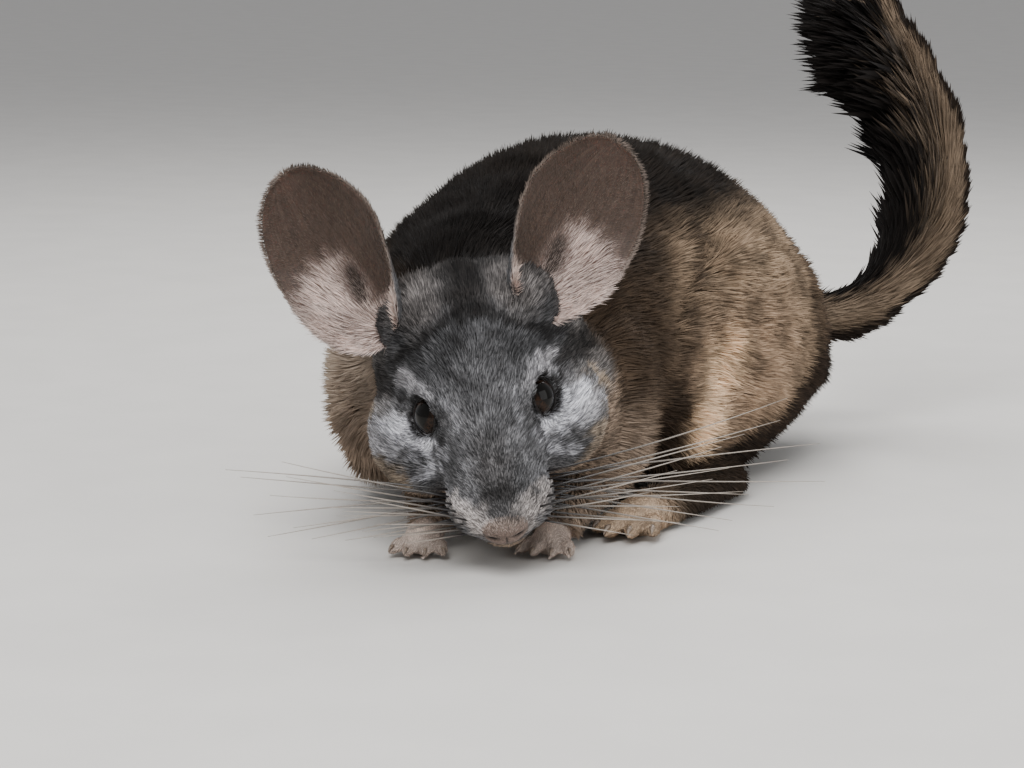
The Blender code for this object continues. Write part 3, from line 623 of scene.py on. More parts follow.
def hide_material():
    """The skin under the coat: the same markings, deeper, with the grain of short fur."""
    material, tree, shader = new_material("hide", 0.85, 0.1, 0.03)
    colour, place = marking(tree)
    paint(tree, shader, scaled(tree, colour, 0.62))
    roughen(tree, shader, noise(tree, place, 1500, 3.0, 0.7).outputs["Fac"], 0.6, 0.0004)
    return material


def shared_material(name, make):
    """The material of this name, made the first time that it is asked for."""
    return bpy.data.materials.get(name) or make()


# The tail's line

def tail_frame(share):
    """Centre, heading and crest side of the tail at a share of its length."""
    centre = Vector(spline(TAIL_PATH, share))
    along = (Vector(spline(TAIL_PATH, share + 0.01)) - Vector(spline(TAIL_PATH, share - 0.01))).normalized()
    upper = TAIL_BEND_CENTRE - centre
    upper = (upper - along * upper.dot(along)).normalized()
    return centre, along, upper


def tail_places(points):
    """For points of the body: share along the tail, distance from its line, heading and crest side."""
    frames = [tail_frame(i / (TAIL_SAMPLES - 1)) for i in range(TAIL_SAMPLES)]
    centres, alongs, uppers = (np.array([list(f[k]) for f in frames]) for k in range(3))
    nearest = np.empty(len(points), int)
    for start in range(0, len(points), POINTS_AT_ONCE):
        part = points[start:start + POINTS_AT_ONCE]
        away = ((part[:, None, :] - centres[None]) ** 2).sum(2)
        nearest[start:start + len(part)] = away.argmin(1)
    gap = points - centres[nearest]
    return nearest / (TAIL_SAMPLES - 1), np.linalg.norm(gap, axis=1), alongs[nearest], uppers[nearest]


# The skin

def flesh_shape():
    """The solids of flesh as one loose shape: whiskers left out, each grown to meet its neighbours."""
    shape = bmesh.new()
    for name in FLESH:
        part = bmesh.new()
        part.from_mesh(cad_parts[name].data)
        bmesh.ops.remove_doubles(part, verts=part.verts, dist=1e-6)
        if name == "muzzle":
            inverse = HEAD.inverted()
            far = [v for v in part.verts if abs((inverse @ v.co).x) > MUZZLE_HALF_WIDTH * MM]
            bmesh.ops.delete(part, geom=far, context="VERTS")
        part.normal_update()
        for vert in part.verts:
            vert.co += vert.normal * GROWTH * MM
        scratch = bpy.data.meshes.new("scratch")
        part.to_mesh(scratch)
        part.free()
        shape.from_mesh(scratch)
        bpy.data.meshes.remove(scratch)
    return shape


def tail_shape(shape):
    """Adds the tail's slim core, from inside the rump to its end."""
    shares = np.linspace(0, 1, TAIL_RINGS)
    centres = [BODY @ (tail_frame(toward(TAIL_ROOT, 1, share))[0] * MM) for share in shares]
    radii = [toward(*TAIL_SKIN, share) * MM for share in shares]
    tube(shape, centres, radii, TAIL_SIDES)


def unwrap(obj):
    """Lays the mesh out flat in a UV map named shape, which the OFBake map of the tufts is read from."""
    bpy.context.view_layer.objects.active = obj
    obj.select_set(True)
    bpy.ops.object.mode_set(mode="EDIT")
    bpy.ops.mesh.select_all(action="SELECT")
    bpy.ops.uv.smart_project(angle_limit=math.radians(66), island_margin=0.002)
    bpy.ops.object.mode_set(mode="OBJECT")
    obj.select_set(False)
    obj.data.uv_layers[0].name = "shape"


def node_labels(points):
    """The number, in FLESH and TAIL, of the solid nearest to each point."""
    verts, faces, owner = [], [], []
    for number, name in enumerate(FLESH + TAIL):
        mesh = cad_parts[name].data
        start = len(verts)
        verts += [v.co for v in mesh.vertices]
        faces += [[start + i for i in p.vertices] for p in mesh.polygons]
        owner += [number] * len(mesh.polygons)
    tree = BVHTree.FromPolygons(verts, faces)
    return np.array([owner[tree.find_nearest(point)[2]] for point in points.tolist()])


class Skin:
    """The places of the skin's points in each frame, and the masks that the coat is made from."""

    def __init__(self, points, outward, labels):
        self.outward = outward
        self.body = in_frame(BODY, points)
        self.head = in_frame(HEAD, points)
        self.labels = labels
        self.share, away, self.tail_along, self.tail_upper = tail_places(self.body)
        self.tail = ramp(self.body[:, 1], *TAIL_START) * (away < TAIL_REACH)
        self.crest = (outward * self.tail_upper).sum(1)
        across = np.abs(self.head[:, 0])
        self.map = np.stack([across, self.head @ np.array(FACE_UP)], 1)
        self.paw = self.labelled("forepaw_left", "forepaw_right", "hind_foot_left", "hind_foot_right")
        self.leg = self.labelled("foreleg_left", "foreleg_right")
        limbs = np.maximum(self.paw, self.leg)
        self.on_head = blob(self.head, *HEAD_BALL, 0.09) * (1 - limbs) * (1 - self.tail)
        self.behind = ramp(self.map[:, 1], 22, 40) * self.on_head
        self.muzzle = ramp(-self.head[:, 1], 10, 27) * self.on_head
        self.folded = np.stack([across, self.head[:, 1], self.head[:, 2]], 1)
        from_eye = self.folded - np.array(EYE_PLACE)
        self.eye = np.linalg.norm(from_eye, axis=1)
        self.near_eye = 1 - ramp(self.eye, 7, 13)
        self.off_gaze = np.degrees(np.arccos(np.clip(unit(from_eye) @ np.array(EYE_AXIS), -1, 1)))
        self.nose = blob(self.folded, *NOSE_BALL, 0.2) * self.on_head
        self.sides = np.stack([np.abs(self.body[:, 0]), self.body[:, 1], self.body[:, 2]], 1)
        centre, radii = THIGH_BALL
        reach = np.linalg.norm((self.sides - np.array(centre)) / np.array(radii), axis=1)
        front = ramp(-self.body[:, 1], -70, -35) * (1 - self.on_head) * (1 - limbs)
        self.fold = np.exp(-((reach - 1.0) / 0.055) ** 2) * front * ramp(self.body[:, 2], 44, 62)

    def labelled(self, *nodes):
        """1 at the points whose nearest solid is one of the nodes."""
        return np.isin(self.labels, [(FLESH + TAIL).index(node) for node in nodes]).astype(float)

    def depth(self):
        """How far the skin lies under the outside of the coat, in metres."""
        lumps = [space_noise.noise(Vector(point) * LUMP_SCALE) for point in self.body.tolist()]
        deep = BODY_DEPTH + LUMP_HEIGHT * np.array(lumps) + FOLD_DEPTH * self.fold
        for mask, region_depth in REGION_DEPTHS:
            deep = toward(deep, region_depth, getattr(self, mask))
        deep = deep * (1 - 0.8 * self.near_eye) * (1 - 0.8 * self.nose)
        return deep * (1 - self.tail) * MM


def coat_tones(skin):
    """The regional colour of the coat at each point, with the strength of its patches as alpha."""
    patches = 0.20 + 0.22 * blob(skin.sides, (52, 84, 56), (46, 56, 50), 0.4)
    tone = blend(body_tones(skin), face_tones(skin), skin.on_head)
    patches = toward(patches, 0.36, skin.on_head)
    fore = skin.labelled("forepaw_left", "forepaw_right")
    tone = blend(tone, TONES["paw"], fore)
    hind = blend(np.tile(np.array(TONES["toe_pale"]), (len(tone), 1)), TONES["hind_foot"], heels(skin))
    tone = blend(tone, hind, skin.paw - fore)
    tone = blend(tone, tail_tones(skin), skin.tail)
    patches = patches * (1 - 0.6 * skin.tail)
    return np.concatenate([tone, patches[:, None]], 1)


def body_tones(skin):
    """Dark along the back, pale on the flank and belly, with a line of painted shade at the shoulder, dark
    fur with painted shade at the low edge and the rump, and painted light on the neck's shaded side.
    """
    x, y, z = skin.body.T
    folded, side = skin.sides, skin.sides[:, 1:]
    tone = np.tile(np.array(TONES["shoulder"]), (len(x), 1))
    tone = blend(tone, TONES["flank"], blob(folded, (52, 82, 60), (40, 54, 42), 0.22))
    tone = blend(tone, TONES["flank_low"], 0.85 * blob(folded, (58, 58, 40), (30, 30, 22), 0.5))
    # Painted light: the neck's shaded side is made paler than its fur to offset the shade.
    tone = blend(tone, TONES["neck_side"], ramp(-x, 8, 28) * ramp(-y, -10, 18) * ramp(-z, -74, -52))
    tone = blend(tone, TONES["back"], ramp(z, 76, 93) * ramp(-y, -150, -100))
    tone = blend(tone, TONES["nape"], ramp(z, 66, 82) * ramp(-y, -50, 0))
    # The rump: dark fur, and painted shade for the dark band along its outline.
    tone = blend(tone, TONES["rump"], ramp(y, 92, 120) * 0.92)
    wedge = trail(side, BELLY_WEDGE, 9.0) * ramp(folded[:, 0], 34, 44)
    tone = blend(tone, TONES["belly"], wedge)
    tone = blend(tone, TONES["chest"], ramp(-z, -46, -22) * ramp(-y, -12, 6))
    # Painted shade: a dark line along the fold before the thigh.
    line = trail(side, FOLD_LINE, 3.4)
    tone = blend(tone, TONES["dark_fur_and_shade"], 0.72 * line * ramp(folded[:, 0], 26, 38))
    # The low edge near the floor: dark fur, darkened further with painted shade.
    low = np.interp(y, *LOW_EDGE)
    tone = blend(tone, TONES["dark_fur_and_shade"], ramp(low - z, -5, 2) * ramp(y, 26, 38) * 0.93)
    # The rear low down: dark fur with painted shade.
    tone = blend(tone, TONES["dark_fur_and_shade"], 0.7 * ramp(y, 126, 141) * ramp(-z, -70, -50))
    return tone


def face_tones(skin):
    """The frosted face: pale brows and streaks, dark lines at the eyes and over the crown."""
    waves = [[space_noise.noise(Vector(point) * scale + Vector((scale, 0, 9))) for scale in WAVE_SCALES]
             for point in skin.head.tolist()]
    face = skin.map + WAVE_HEIGHT * np.array(waves)
    aside, up = face.T
    plain = np.array(TONES["face"])
    tone = np.tile(plain, (len(face), 1))
    tone = blend(tone, plain * 0.5, ramp(up, 3, 15))
    tone = blend(tone, TONES["cheek"], ramp(aside, 22, 33) * 0.8)
    tone = blend(tone, TONES["crown"], ramp(up, 22, 31))
    tone = blend(tone, TONES["crown_pale"], blob(face, (15.5, 34), (7.5, 11), 0.5) * 0.85)
    tone = blend(tone, TONES["bridge"], (1 - ramp(aside, 3, 8)) * ramp(-up, 2, 14))
    for name, corners, half_width, strength in FACE_MARKS:
        tone = blend(tone, TONES[name], trail(face, corners, half_width) * strength)
    tone = blend(tone, TONES["chest"], ramp(-skin.head[:, 2], 17, 22))
    tone = blend(tone, TONES["nose"], skin.nose)
    # Painted shade: black over the nostrils and the cleft.
    front = skin.folded[:, ::2]
    dark = np.maximum(streak(front, *NOSTRIL, 0.85), streak(front, *CLEFT, 0.5))
    tone = blend(tone, TONES["black"], dark * np.minimum(1.6 * skin.nose, 1))
    rim = (1 - ramp(skin.off_gaze, 53, 57)) * (1 - ramp(skin.eye, 8, 10))
    return blend(tone, TONES["black"], rim)


def heels(skin):
    """1 on the rear of each hind foot, 0 at its toes."""
    left = ramp(skin.body[:, 1], -12, 12) * (skin.body[:, 0] > 0)
    return left + ramp(skin.body[:, 1], 24, 44) * (skin.body[:, 0] < 0)


def tail_tones(skin):
    """Grey-brown sides between the black crest and the dark outer rim."""
    tone = np.tile(np.array(TONES["tail_side"]), (len(skin.crest), 1))
    dark = ramp(skin.crest + 0.4 * ramp(skin.share, 0.8, 1.0), 0.50, 0.82) * ramp(skin.share, 0.02, 0.12)
    tone = blend(tone, TONES["tail_crest"], dark)
    return blend(tone, TONES["tail_rim"], ramp(-skin.crest, 0.50, 0.80))


def coat_ticks(skin):
    """How much the tufts differ from each other: strong on the frosted face, faint on the plush body."""
    return toward(toward(BODY_TICK, HEAD_TICK, skin.on_head), PAW_TICK, skin.paw)


def coat_lay(skin):
    """The way each tuft points: along the lie of the coat, lifted off the skin."""
    turned_head = np.array(HEAD.to_3x3())
    body_lie = np.tile([0.0, 1.0, -0.22], (len(skin.body), 1))
    body_lie[:, 2] -= 0.9 * ramp(skin.body[:, 1], 100, 150)
    body_lie[:, 0] += 0.25 * np.sign(skin.body[:, 0]) * ramp(-skin.body[:, 1], -40, 20)
    head_lie = np.tile([0.0, 1.0, 0.0], (len(skin.body), 1))
    head_lie[:, 0] = 0.35 * np.clip(skin.head[:, 0] / 20, -1, 1)
    head_lie[:, 2] = -0.35 * ramp(skin.map[:, 0], 8, 22)
    from_eye = skin.folded - np.array(EYE_PLACE)
    from_eye[:, 0] *= np.sign(skin.head[:, 0])
    near_eye = 1 - ramp(skin.eye, 7, 12)
    head_lie = blend(unit(head_lie), unit(from_eye), near_eye * 0.8)
    lie = blend(body_lie, head_lie @ turned_head.T, skin.on_head)
    lie = blend(lie, np.array([0.15, -0.3, -1.0]), skin.leg)
    lie = blend(lie, np.array([0.1, -1.0, -0.3]), skin.paw)
    lie = blend(lie, np.array([0.3, 0.5, -1.0]), skin.paw * heels(skin) * 0.8)
    lie = blend(lie, skin.tail_along, skin.tail)
    flat = unit(lie - skin.outward * (lie * skin.outward).sum(1, keepdims=True))
    crest = ramp(skin.crest, 0.0, 0.8) * ramp(skin.share, 0.05, 0.35)
    lift = toward(BODY_LIFT, HEAD_LIFT, skin.on_head) + MUZZLE_LIFT * skin.muzzle
    lift = toward(lift, PAW_LIFT + HEEL_LIFT * heels(skin), skin.paw)
    lift = toward(lift, TAIL_LIFT + CREST_LIFT * crest, skin.tail)
    lift = np.radians(lift)[:, None]
    return flat * np.cos(lift) + skin.outward * np.sin(lift)


def coat_sizes(skin, sizes):
    """Width, arch and length of a tuft at each point, in metres, and tufts on a square metre."""
    head, heel, share = skin.on_head, heels(skin), skin.share
    face_length = sizes.face_length * (1 + 0.9 * skin.behind) * (1 - 0.42 * skin.muzzle)
    length = toward(sizes.body_length, face_length, head)
    width = toward(sizes.body_width, sizes.face_width * (1 + 0.4 * skin.behind), head)
    dense = toward(sizes.body_density, sizes.face_density * (1 - 0.35 * skin.behind), head)
    length *= 1 - 0.55 * skin.near_eye
    length = toward(length, (PAW_FUR + HEEL_FUR * heel) * MM, skin.paw)
    width = toward(width, (PAW_WIDTH + HEEL_WIDTH * heel) * MM, skin.paw)
    dense = toward(dense, PAW_DENSITY, skin.paw)
    length = toward(length, LEG_FUR * MM, skin.leg)
    crest = ramp(skin.crest, 0.1, 0.8)
    crest_length = CREST_FUR + CREST_GAIN * ramp(share, 0.02, 0.75) - CREST_LOSS * ramp(share, 0.85, 1.0)
    tail_length = toward(TAIL_FUR, crest_length, crest) + END_GAIN * ramp(share, 0.94, 1.0) * (1 - crest)
    length = toward(length, tail_length * MM, skin.tail)
    width = toward(width, TAIL_WIDTH * MM, skin.tail)
    dense = toward(dense, TAIL_DENSITY, skin.tail)
    bare = np.maximum((skin.eye < 6.9) & (head > 0.5), (skin.nose > 0.7) & (skin.head[:, 2] < -7.5))
    dense *= 1 - bare
    dense *= skin.body[:, 2] > 0.9
    down = np.maximum(-coat_lay(skin)[:, 2], 0) + 0.35
    length = np.minimum(length, skin.body[:, 2] / down * MM / TUFT_LENGTHS[1])
    return np.stack([width, length * ARCH, length], 1), dense * 1e4


COAT_PIECES = (
    "coat_muzzle", "coat_face_left", "coat_face_right", "coat_crown", "coat_neck", "coat_shoulders",
    "coat_back_left", "coat_back_right", "coat_rump", "coat_thigh_left", "coat_thigh_right",
    "coat_legs", "coat_tail",
)
# Where the pieces part: along the body, up the face and back from the nose.
RUMP_START, SHOULDERS_END, CROWN_START, MUZZLE_END = 112, 28, 17, -14


def coat_regions(skin):
    """The number, in COAT_PIECES, of the piece of coat that grows at each point."""
    names = FLESH + TAIL
    number = {name: i for i, name in enumerate(COAT_PIECES)}
    y, x = skin.body[:, 1], skin.body[:, 0]
    region = np.where(x > 0, number["coat_back_left"], number["coat_back_right"])
    region[y > RUMP_START] = number["coat_rump"]
    region[y < SHOULDERS_END] = number["coat_shoulders"]
    side = np.where(skin.head[:, 0] > 0, number["coat_face_left"], number["coat_face_right"])
    on_head = skin.labelled("head", "muzzle", "jaw") > 0
    region = np.where(on_head, side, region)
    region[on_head & (skin.map[:, 1] > CROWN_START)] = number["coat_crown"]
    region[on_head & (skin.head[:, 1] < MUZZLE_END)] = number["coat_muzzle"]
    for name, piece in (("neck", "coat_neck"), ("thigh_left", "coat_thigh_left"),
                        ("thigh_right", "coat_thigh_right")):
        region[skin.labels == names.index(name)] = number[piece]
    region[(skin.leg > 0) | (skin.paw > 0)] = number["coat_legs"]
    region[skin.tail > 0.5] = number["coat_tail"]
    return region


def keep_growth(mesh, tone, lay, size, dense, tick, region=None):
    """Stores how the coat grows on a skin, for the tree of tufts and the coat's material."""
    keep_values(mesh, "tone", "FLOAT_COLOR", tone)
    keep_values(mesh, "lay", "FLOAT_VECTOR", lay)
    keep_values(mesh, "size", "FLOAT_VECTOR", size)
    keep_values(mesh, "dense", "FLOAT", dense)
    keep_values(mesh, "tick", "FLOAT", tick)
    keep_values(mesh, "region", "INT", np.zeros(len(mesh.polygons)) if region is None else region, "FACE")


def mark_face_piece(obj, width, length, dense):
    """Marks how short fur grows on a small piece of the face. dense is tufts on a square centimetre."""
    unwrap(obj)
    mesh = obj.data
    labels = np.full(len(mesh.vertices), FLESH.index("head"))
    masks = Skin(positions(mesh), normals(mesh), labels)
    size = np.tile(np.array([width, length * ARCH, length]) * MM, (len(labels), 1))
    keep_growth(mesh, coat_tones(masks), coat_lay(masks), size, dense(masks) * 1e4, coat_ticks(masks))


def face_values(mesh, values):
    """For each face, the value of its first point."""
    starts = np.empty(len(mesh.polygons), np.int32)
    mesh.polygons.foreach_get("loop_start", starts)
    corners = np.empty(len(mesh.loops), np.int32)
    mesh.loops.foreach_get("vertex_index", corners)
    return values[corners[starts]]


class CHINCHILLA_OT_skin(bpy.types.Operator):
    """Fuses the solids of flesh into one skin under the coat, and marks how the coat grows on it"""
    bl_idname = "chinchilla.skin"
    bl_label = "Skin"

    def execute(self, context):
        shape = flesh_shape()
        tail_shape(shape)
        skin = from_bmesh("skin", shape)
        fuse = skin.modifiers.new("fuse", "REMESH")
        fuse.mode = "VOXEL"
        fuse.voxel_size = GRID * MM
        soften = skin.modifiers.new("soften", "SMOOTH")
        soften.factor, soften.iterations = SMOOTHING
        apply_modifiers(skin)
        self.thin(skin)
        mesh = skin.data
        points = positions(mesh)
        labels = node_labels(points)
        masks = Skin(points, normals(mesh), labels)
        move_points(mesh, points - masks.outward * masks.depth()[:, None])
        mesh.shade_smooth()
        unwrap(skin)
        masks = Skin(positions(mesh), normals(mesh), labels)
        sizes, dense = coat_sizes(masks, context.scene.chinchilla_coat)
        lay = coat_lay(masks)
        tips = lay * np.minimum(sizes[:, 2:], SEEN_REACH) * SEEN_SHARE * (dense > 0)[:, None]
        seen = Skin(positions(mesh) + tips, masks.outward, labels)
        region = face_values(mesh, coat_regions(masks))
        keep_growth(mesh, coat_tones(seen), lay, sizes, dense, coat_ticks(masks), region)
        dress(skin, [shared_material("hide", hide_material)], FLESH + TAIL)
        return {"FINISHED"}

    @staticmethod
    def thin(skin):
        """Fewer faces where the form is broad, and all of them on the head and feet."""
        points = positions(skin.data)
        labels = node_labels(points)
        broad_nodes = ("neck", "torso", "thigh_left", "thigh_right", *TAIL)
        broad = np.isin(labels, [(FLESH + TAIL).index(name) for name in broad_nodes])
        group = skin.vertex_groups.new(name="broad")
        group.add(np.nonzero(broad)[0].tolist(), 1.0, "REPLACE")
        group.add(np.nonzero(~broad)[0].tolist(), 0.05, "REPLACE")
        fewer = skin.modifiers.new("fewer", "DECIMATE")
        fewer.vertex_group = "broad"
        fewer.ratio = FACES_KEPT
        apply_modifiers(skin)
        skin.vertex_groups.clear()


# The coat

def tuft_object():
    """One closed tuft of unit length along Z: pointed at both ends, arched towards +Y."""
    shape = bmesh.new()
    root = shape.verts.new((0, -0.3, 0))
    left = shape.verts.new((-0.5, 1, 0.36))
    right = shape.verts.new((0.5, 1, 0.36))
    tip = shape.verts.new((0, -0.5, 1))
    for face in ((root, right, left), (left, right, tip), (root, left, tip), (root, tip, right)):
        shape.faces.new(face)
    bmesh.ops.recalc_face_normals(shape, faces=shape.faces)
    made = from_bmesh("tuft", shape)
    keep_values(made.data, "leaf", "FLOAT_VECTOR", [(0.5, 0, 0), (0, 0.36, 0), (1, 0.36, 0), (0.5, 1, 0)])
    return made


def stored(tree, geometry, name, value, kind, domain="POINT"):
    """Geometry that keeps a value for each point or corner under a name."""
    made = add(tree, "GeometryNodeStoreNamedAttribute",
               {"Geometry": geometry, "Name": name, "Value": value}, data_type=kind, domain=domain)
    return made.outputs[0]


def coat_tree():
    """A tree that sets tufts on the faces of one region of a skin, along its lay."""
    tree = bpy.data.node_groups.new("tufts on a skin", "GeometryNodeTree")
    face = tree.interface
    sockets = {}
    for name, kind in (("Skin", "Geometry"), ("Tuft", "Object"), ("Finish", "Material"), ("Region", "Int"),
                       ("Seed", "Int"), ("Patch", "Float")):
        sockets[name] = face.new_socket(name, in_out="INPUT", socket_type=f"NodeSocket{kind}").identifier
    face.new_socket("Coat", in_out="OUTPUT", socket_type="NodeSocketGeometry")
    given = tree.nodes.new("NodeGroupInput").outputs
    named = {
        name: add(tree, "GeometryNodeInputNamedAttribute", {"Name": name}, data_type=kind).outputs[0]
        for name, kind in (("region", "INT"), ("dense", "FLOAT"), ("lay", "FLOAT_VECTOR"),
                           ("size", "FLOAT_VECTOR"), ("shape", "FLOAT_VECTOR"), ("leaf", "FLOAT_VECTOR"),
                           ("root", "FLOAT_VECTOR"), ("outward", "FLOAT_VECTOR"))
    }
    here = add(tree, "FunctionNodeCompare", {2: named["region"], 3: given["Region"]},
               data_type="INT", operation="EQUAL")
    spread = add(tree, "GeometryNodeDistributePointsOnFaces",
                 {"Mesh": given["Skin"], "Selection": here.outputs[0], "Density": named["dense"],
                  "Seed": given["Seed"]}, distribute_method="RANDOM")
    rooted = stored(tree, spread.outputs["Points"], "root", named["shape"], "FLOAT_VECTOR")
    facing = stored(tree, rooted, "outward", spread.outputs["Normal"], "FLOAT_VECTOR")
    drawn = add(tree, "FunctionNodeRandomValue", {2: 0.0, 3: 1.0, "Seed": given["Seed"]}, data_type="FLOAT")
    ticked = stored(tree, facing, "draw", drawn.outputs[1], "FLOAT")
    place = add(tree, "GeometryNodeInputPosition").outputs[0]
    swirls = []
    for scale, strength in SWIRLS:
        colour = noise(tree, place, scale, 1.0).outputs["Color"]
        swirls.append(scaled(tree, vector_maths(tree, "SUBTRACT", colour, (0.5, 0.5, 0.5)), strength))
    swirl = vector_maths(tree, "ADD", *swirls)
    loose = add(tree, "FunctionNodeRandomValue", {0: [-LOOSENESS] * 3, 1: [LOOSENESS] * 3},
                data_type="FLOAT_VECTOR")
    heading = vector_maths(tree, "ADD", named["lay"], vector_maths(tree, "ADD", swirl, loose.outputs[0]))
    outward = vector_maths(tree, "ADD", spread.outputs["Normal"], scaled(tree, loose.outputs[0], 2.5))
    turned = add(tree, "FunctionNodeAxesToRotation", {0: heading, 1: outward},
                 primary_axis="Z", secondary_axis="Y")
    low, high = TUFT_LENGTHS
    longer = add(tree, "FunctionNodeRandomValue", {2: low, 3: high, "Seed": 3}, data_type="FLOAT")
    size = scaled(tree, named["size"], longer.outputs[1])
    tuft = add(tree, "GeometryNodeObjectInfo", {"Object": given["Tuft"]})
    grown = add(tree, "GeometryNodeInstanceOnPoints",
                {"Points": ticked, "Instance": tuft.outputs["Geometry"],
                 "Rotation": turned.outputs[0], "Scale": size})
    real = add(tree, "GeometryNodeRealizeInstances", {"Geometry": grown.outputs[0]})
    patch = scaled(tree, vector_maths(tree, "SUBTRACT", named["leaf"], (0.5, 0.5, 0)), given["Patch"])
    spot = vector_maths(tree, "ADD", named["root"], patch)
    baked = stored(tree, real.outputs[0], "OFBake", spot, "FLOAT2", "CORNER")
    own = add(tree, "GeometryNodeInputNormal").outputs["Normal"]
    soft = vector_maths(tree, "NORMALIZE",
                        vector_maths(tree, "ADD", named["outward"], scaled(tree, own, OWN_NORMAL)))
    softened = add(tree, "GeometryNodeSetMeshNormal", {"Mesh": baked}, mode="FREE", domain="POINT")
    tree.links.new(soft, softened.inputs["Custom Normal"])
    kept = softened.outputs[0]
    for name in ("region", "dense", "lay", "size", "root", "outward"):
        kept = add(tree, "GeometryNodeRemoveAttribute", {"Geometry": kept, "Name": name}).outputs[0]
    finished = add(tree, "GeometryNodeSetMaterial", {"Geometry": kept, "Material": given["Finish"]})
    out = tree.nodes.new("NodeGroupOutput")
    tree.links.new(finished.outputs[0], out.inputs[0])
    return tree, sockets


def grow_coat(name, skin, region, seed=0):
    """Grows one piece of coat on a region of a skin as a plain mesh."""
    tree = bpy.data.node_groups.get("tufts on a skin")
    if tree is None:
        tree, sockets = coat_tree()
        for key, identifier in sockets.items():
            tree[key] = identifier
    tuft = bpy.data.objects.get("tuft") or tuft_object()
    sizes = bpy.context.scene.chinchilla_coat
    grown = new_object(name, skin.data.copy())
    modifier = grown.modifiers.new("coat", "NODES")
    modifier.node_group = tree
    modifier[tree["Tuft"]] = tuft
    modifier[tree["Finish"]] = shared_material("coat", coat_material)
    modifier[tree["Region"]] = region
    modifier[tree["Seed"]] = sizes.seed + seed
    modifier[tree["Patch"]] = sizes.patch
    grown.update_tag()
    apply_modifiers(grown)
    if not grown.data.polygons:
        raise RuntimeError(f"{name} has no tufts")
    dress(grown, [shared_material("coat", coat_material)])


class CHINCHILLA_OT_coat(bpy.types.Operator):
    """Grows the coat on the skin, piece by piece"""
    bl_idname = "chinchilla.coat"
    bl_label = "Coat"

    def execute(self, context):
        skin = bpy.data.objects["skin"]
        for number, name in enumerate(COAT_PIECES):
            grow_coat(name, skin, number, seed=number)
        bpy.data.objects.remove(bpy.data.objects["tuft"])
        return {"FINISHED"}


# Eyes and lids

def eye_frame(side):
    """The eye's own frame: its centre, and Z the way it looks."""
    axis = Vector((side * EYE_AXIS.x, EYE_AXIS.y, EYE_AXIS.z))
    centre = Vector((side * EYE_PLACE.x, EYE_PLACE.y, EYE_PLACE.z)) * MM
    return HEAD @ Matrix.Translation(centre) @ axis.to_track_quat("Z", "Y").to_matrix().to_4x4()


def eye_material(colour):
    """A wet dark eye: a tall black pupil in a brown iris with fine fibres."""
    material, tree, shader = new_material("wet_eye", 0.04)
    gaze = add(tree, "ShaderNodeSeparateXYZ", {0: attribute(tree, "gaze").outputs["Vector"]})
    x, y = gaze.outputs["X"], gaze.outputs["Y"]
    wide = maths(tree, "POWER", maths(tree, "ABSOLUTE", maths(tree, "MULTIPLY", x, 2.4)), 2.0)
    tall = maths(tree, "POWER", maths(tree, "ABSOLUTE", maths(tree, "MULTIPLY", y, 1.3)), 2.0)
    pupil = remap(tree, maths(tree, "ADD", wide, tall), 0.8, 1.25, 0.0, 1.0)
    place = attribute(tree, "gaze").outputs["Vector"]
    fibres = noise(tree, vector_maths(tree, "NORMALIZE", place), 9, 3.0).outputs["Fac"]
    bright = remap(tree, fibres, 0.35, 0.7, 0.4, 1.5)
    iris = scaled(tree, tuple(colour), bright)
    black = (0.003, 0.0025, 0.002, 1)
    paint(tree, shader, mixed(tree, pupil, black, iris))
    shader.inputs["Specular IOR Level"].default_value = 0.10
    shader.inputs["Coat Weight"].default_value = 0.4
    shader.inputs["Coat Roughness"].default_value = 0.02
    shader.inputs["Coat IOR"].default_value = 1.25
    return material


class CHINCHILLA_OT_eyes(bpy.types.Operator):
    """Makes the two glossy eyes, each with its clear bulge"""
    bl_idname = "chinchilla.eyes"
    bl_label = "Eyes"

    def execute(self, context):
        colour = context.scene.chinchilla_face.eye_colour
        for name, side in SIDES.items():
            shape = bmesh.new()
            bmesh.ops.create_uvsphere(shape, u_segments=48, v_segments=28, radius=1)
            gaze = []
            for vert in shape.verts:
                gaze.append(tuple(vert.co))
                ahead = max(0.0, vert.co.z - EYE_BULGE_START) / (1 - EYE_BULGE_START)
                bulge = 1 + EYE_BULGE * ahead
                vert.co *= EYE_RADIUS * MM * bulge
            bmesh.ops.transform(shape, matrix=eye_frame(side), verts=shape.verts)
            eye = from_bmesh(f"wet_eye_{name}", shape)
            eye.data.shade_smooth()
            keep_values(eye.data, "gaze", "FLOAT_VECTOR", gaze)
            material = shared_material("wet_eye", lambda: eye_material(colour))
            dress(eye, [material], [f"eye_{name}"])
        return {"FINISHED"}


def rim_material():
    """Bare dark skin of the lids, slightly moist."""
    material, tree, shader = new_material("lid_skin", 0.5, 0.2)
    grain, shade = grained(tree, 1200, 3.0, 0.5, (0.3, 0.7), (0.6, 1.4))
    paint(tree, shader, scaled(tree, TONES["lid_skin"], shade))
    roughen(tree, shader, grain, 0.4, 0.0002)
    return material


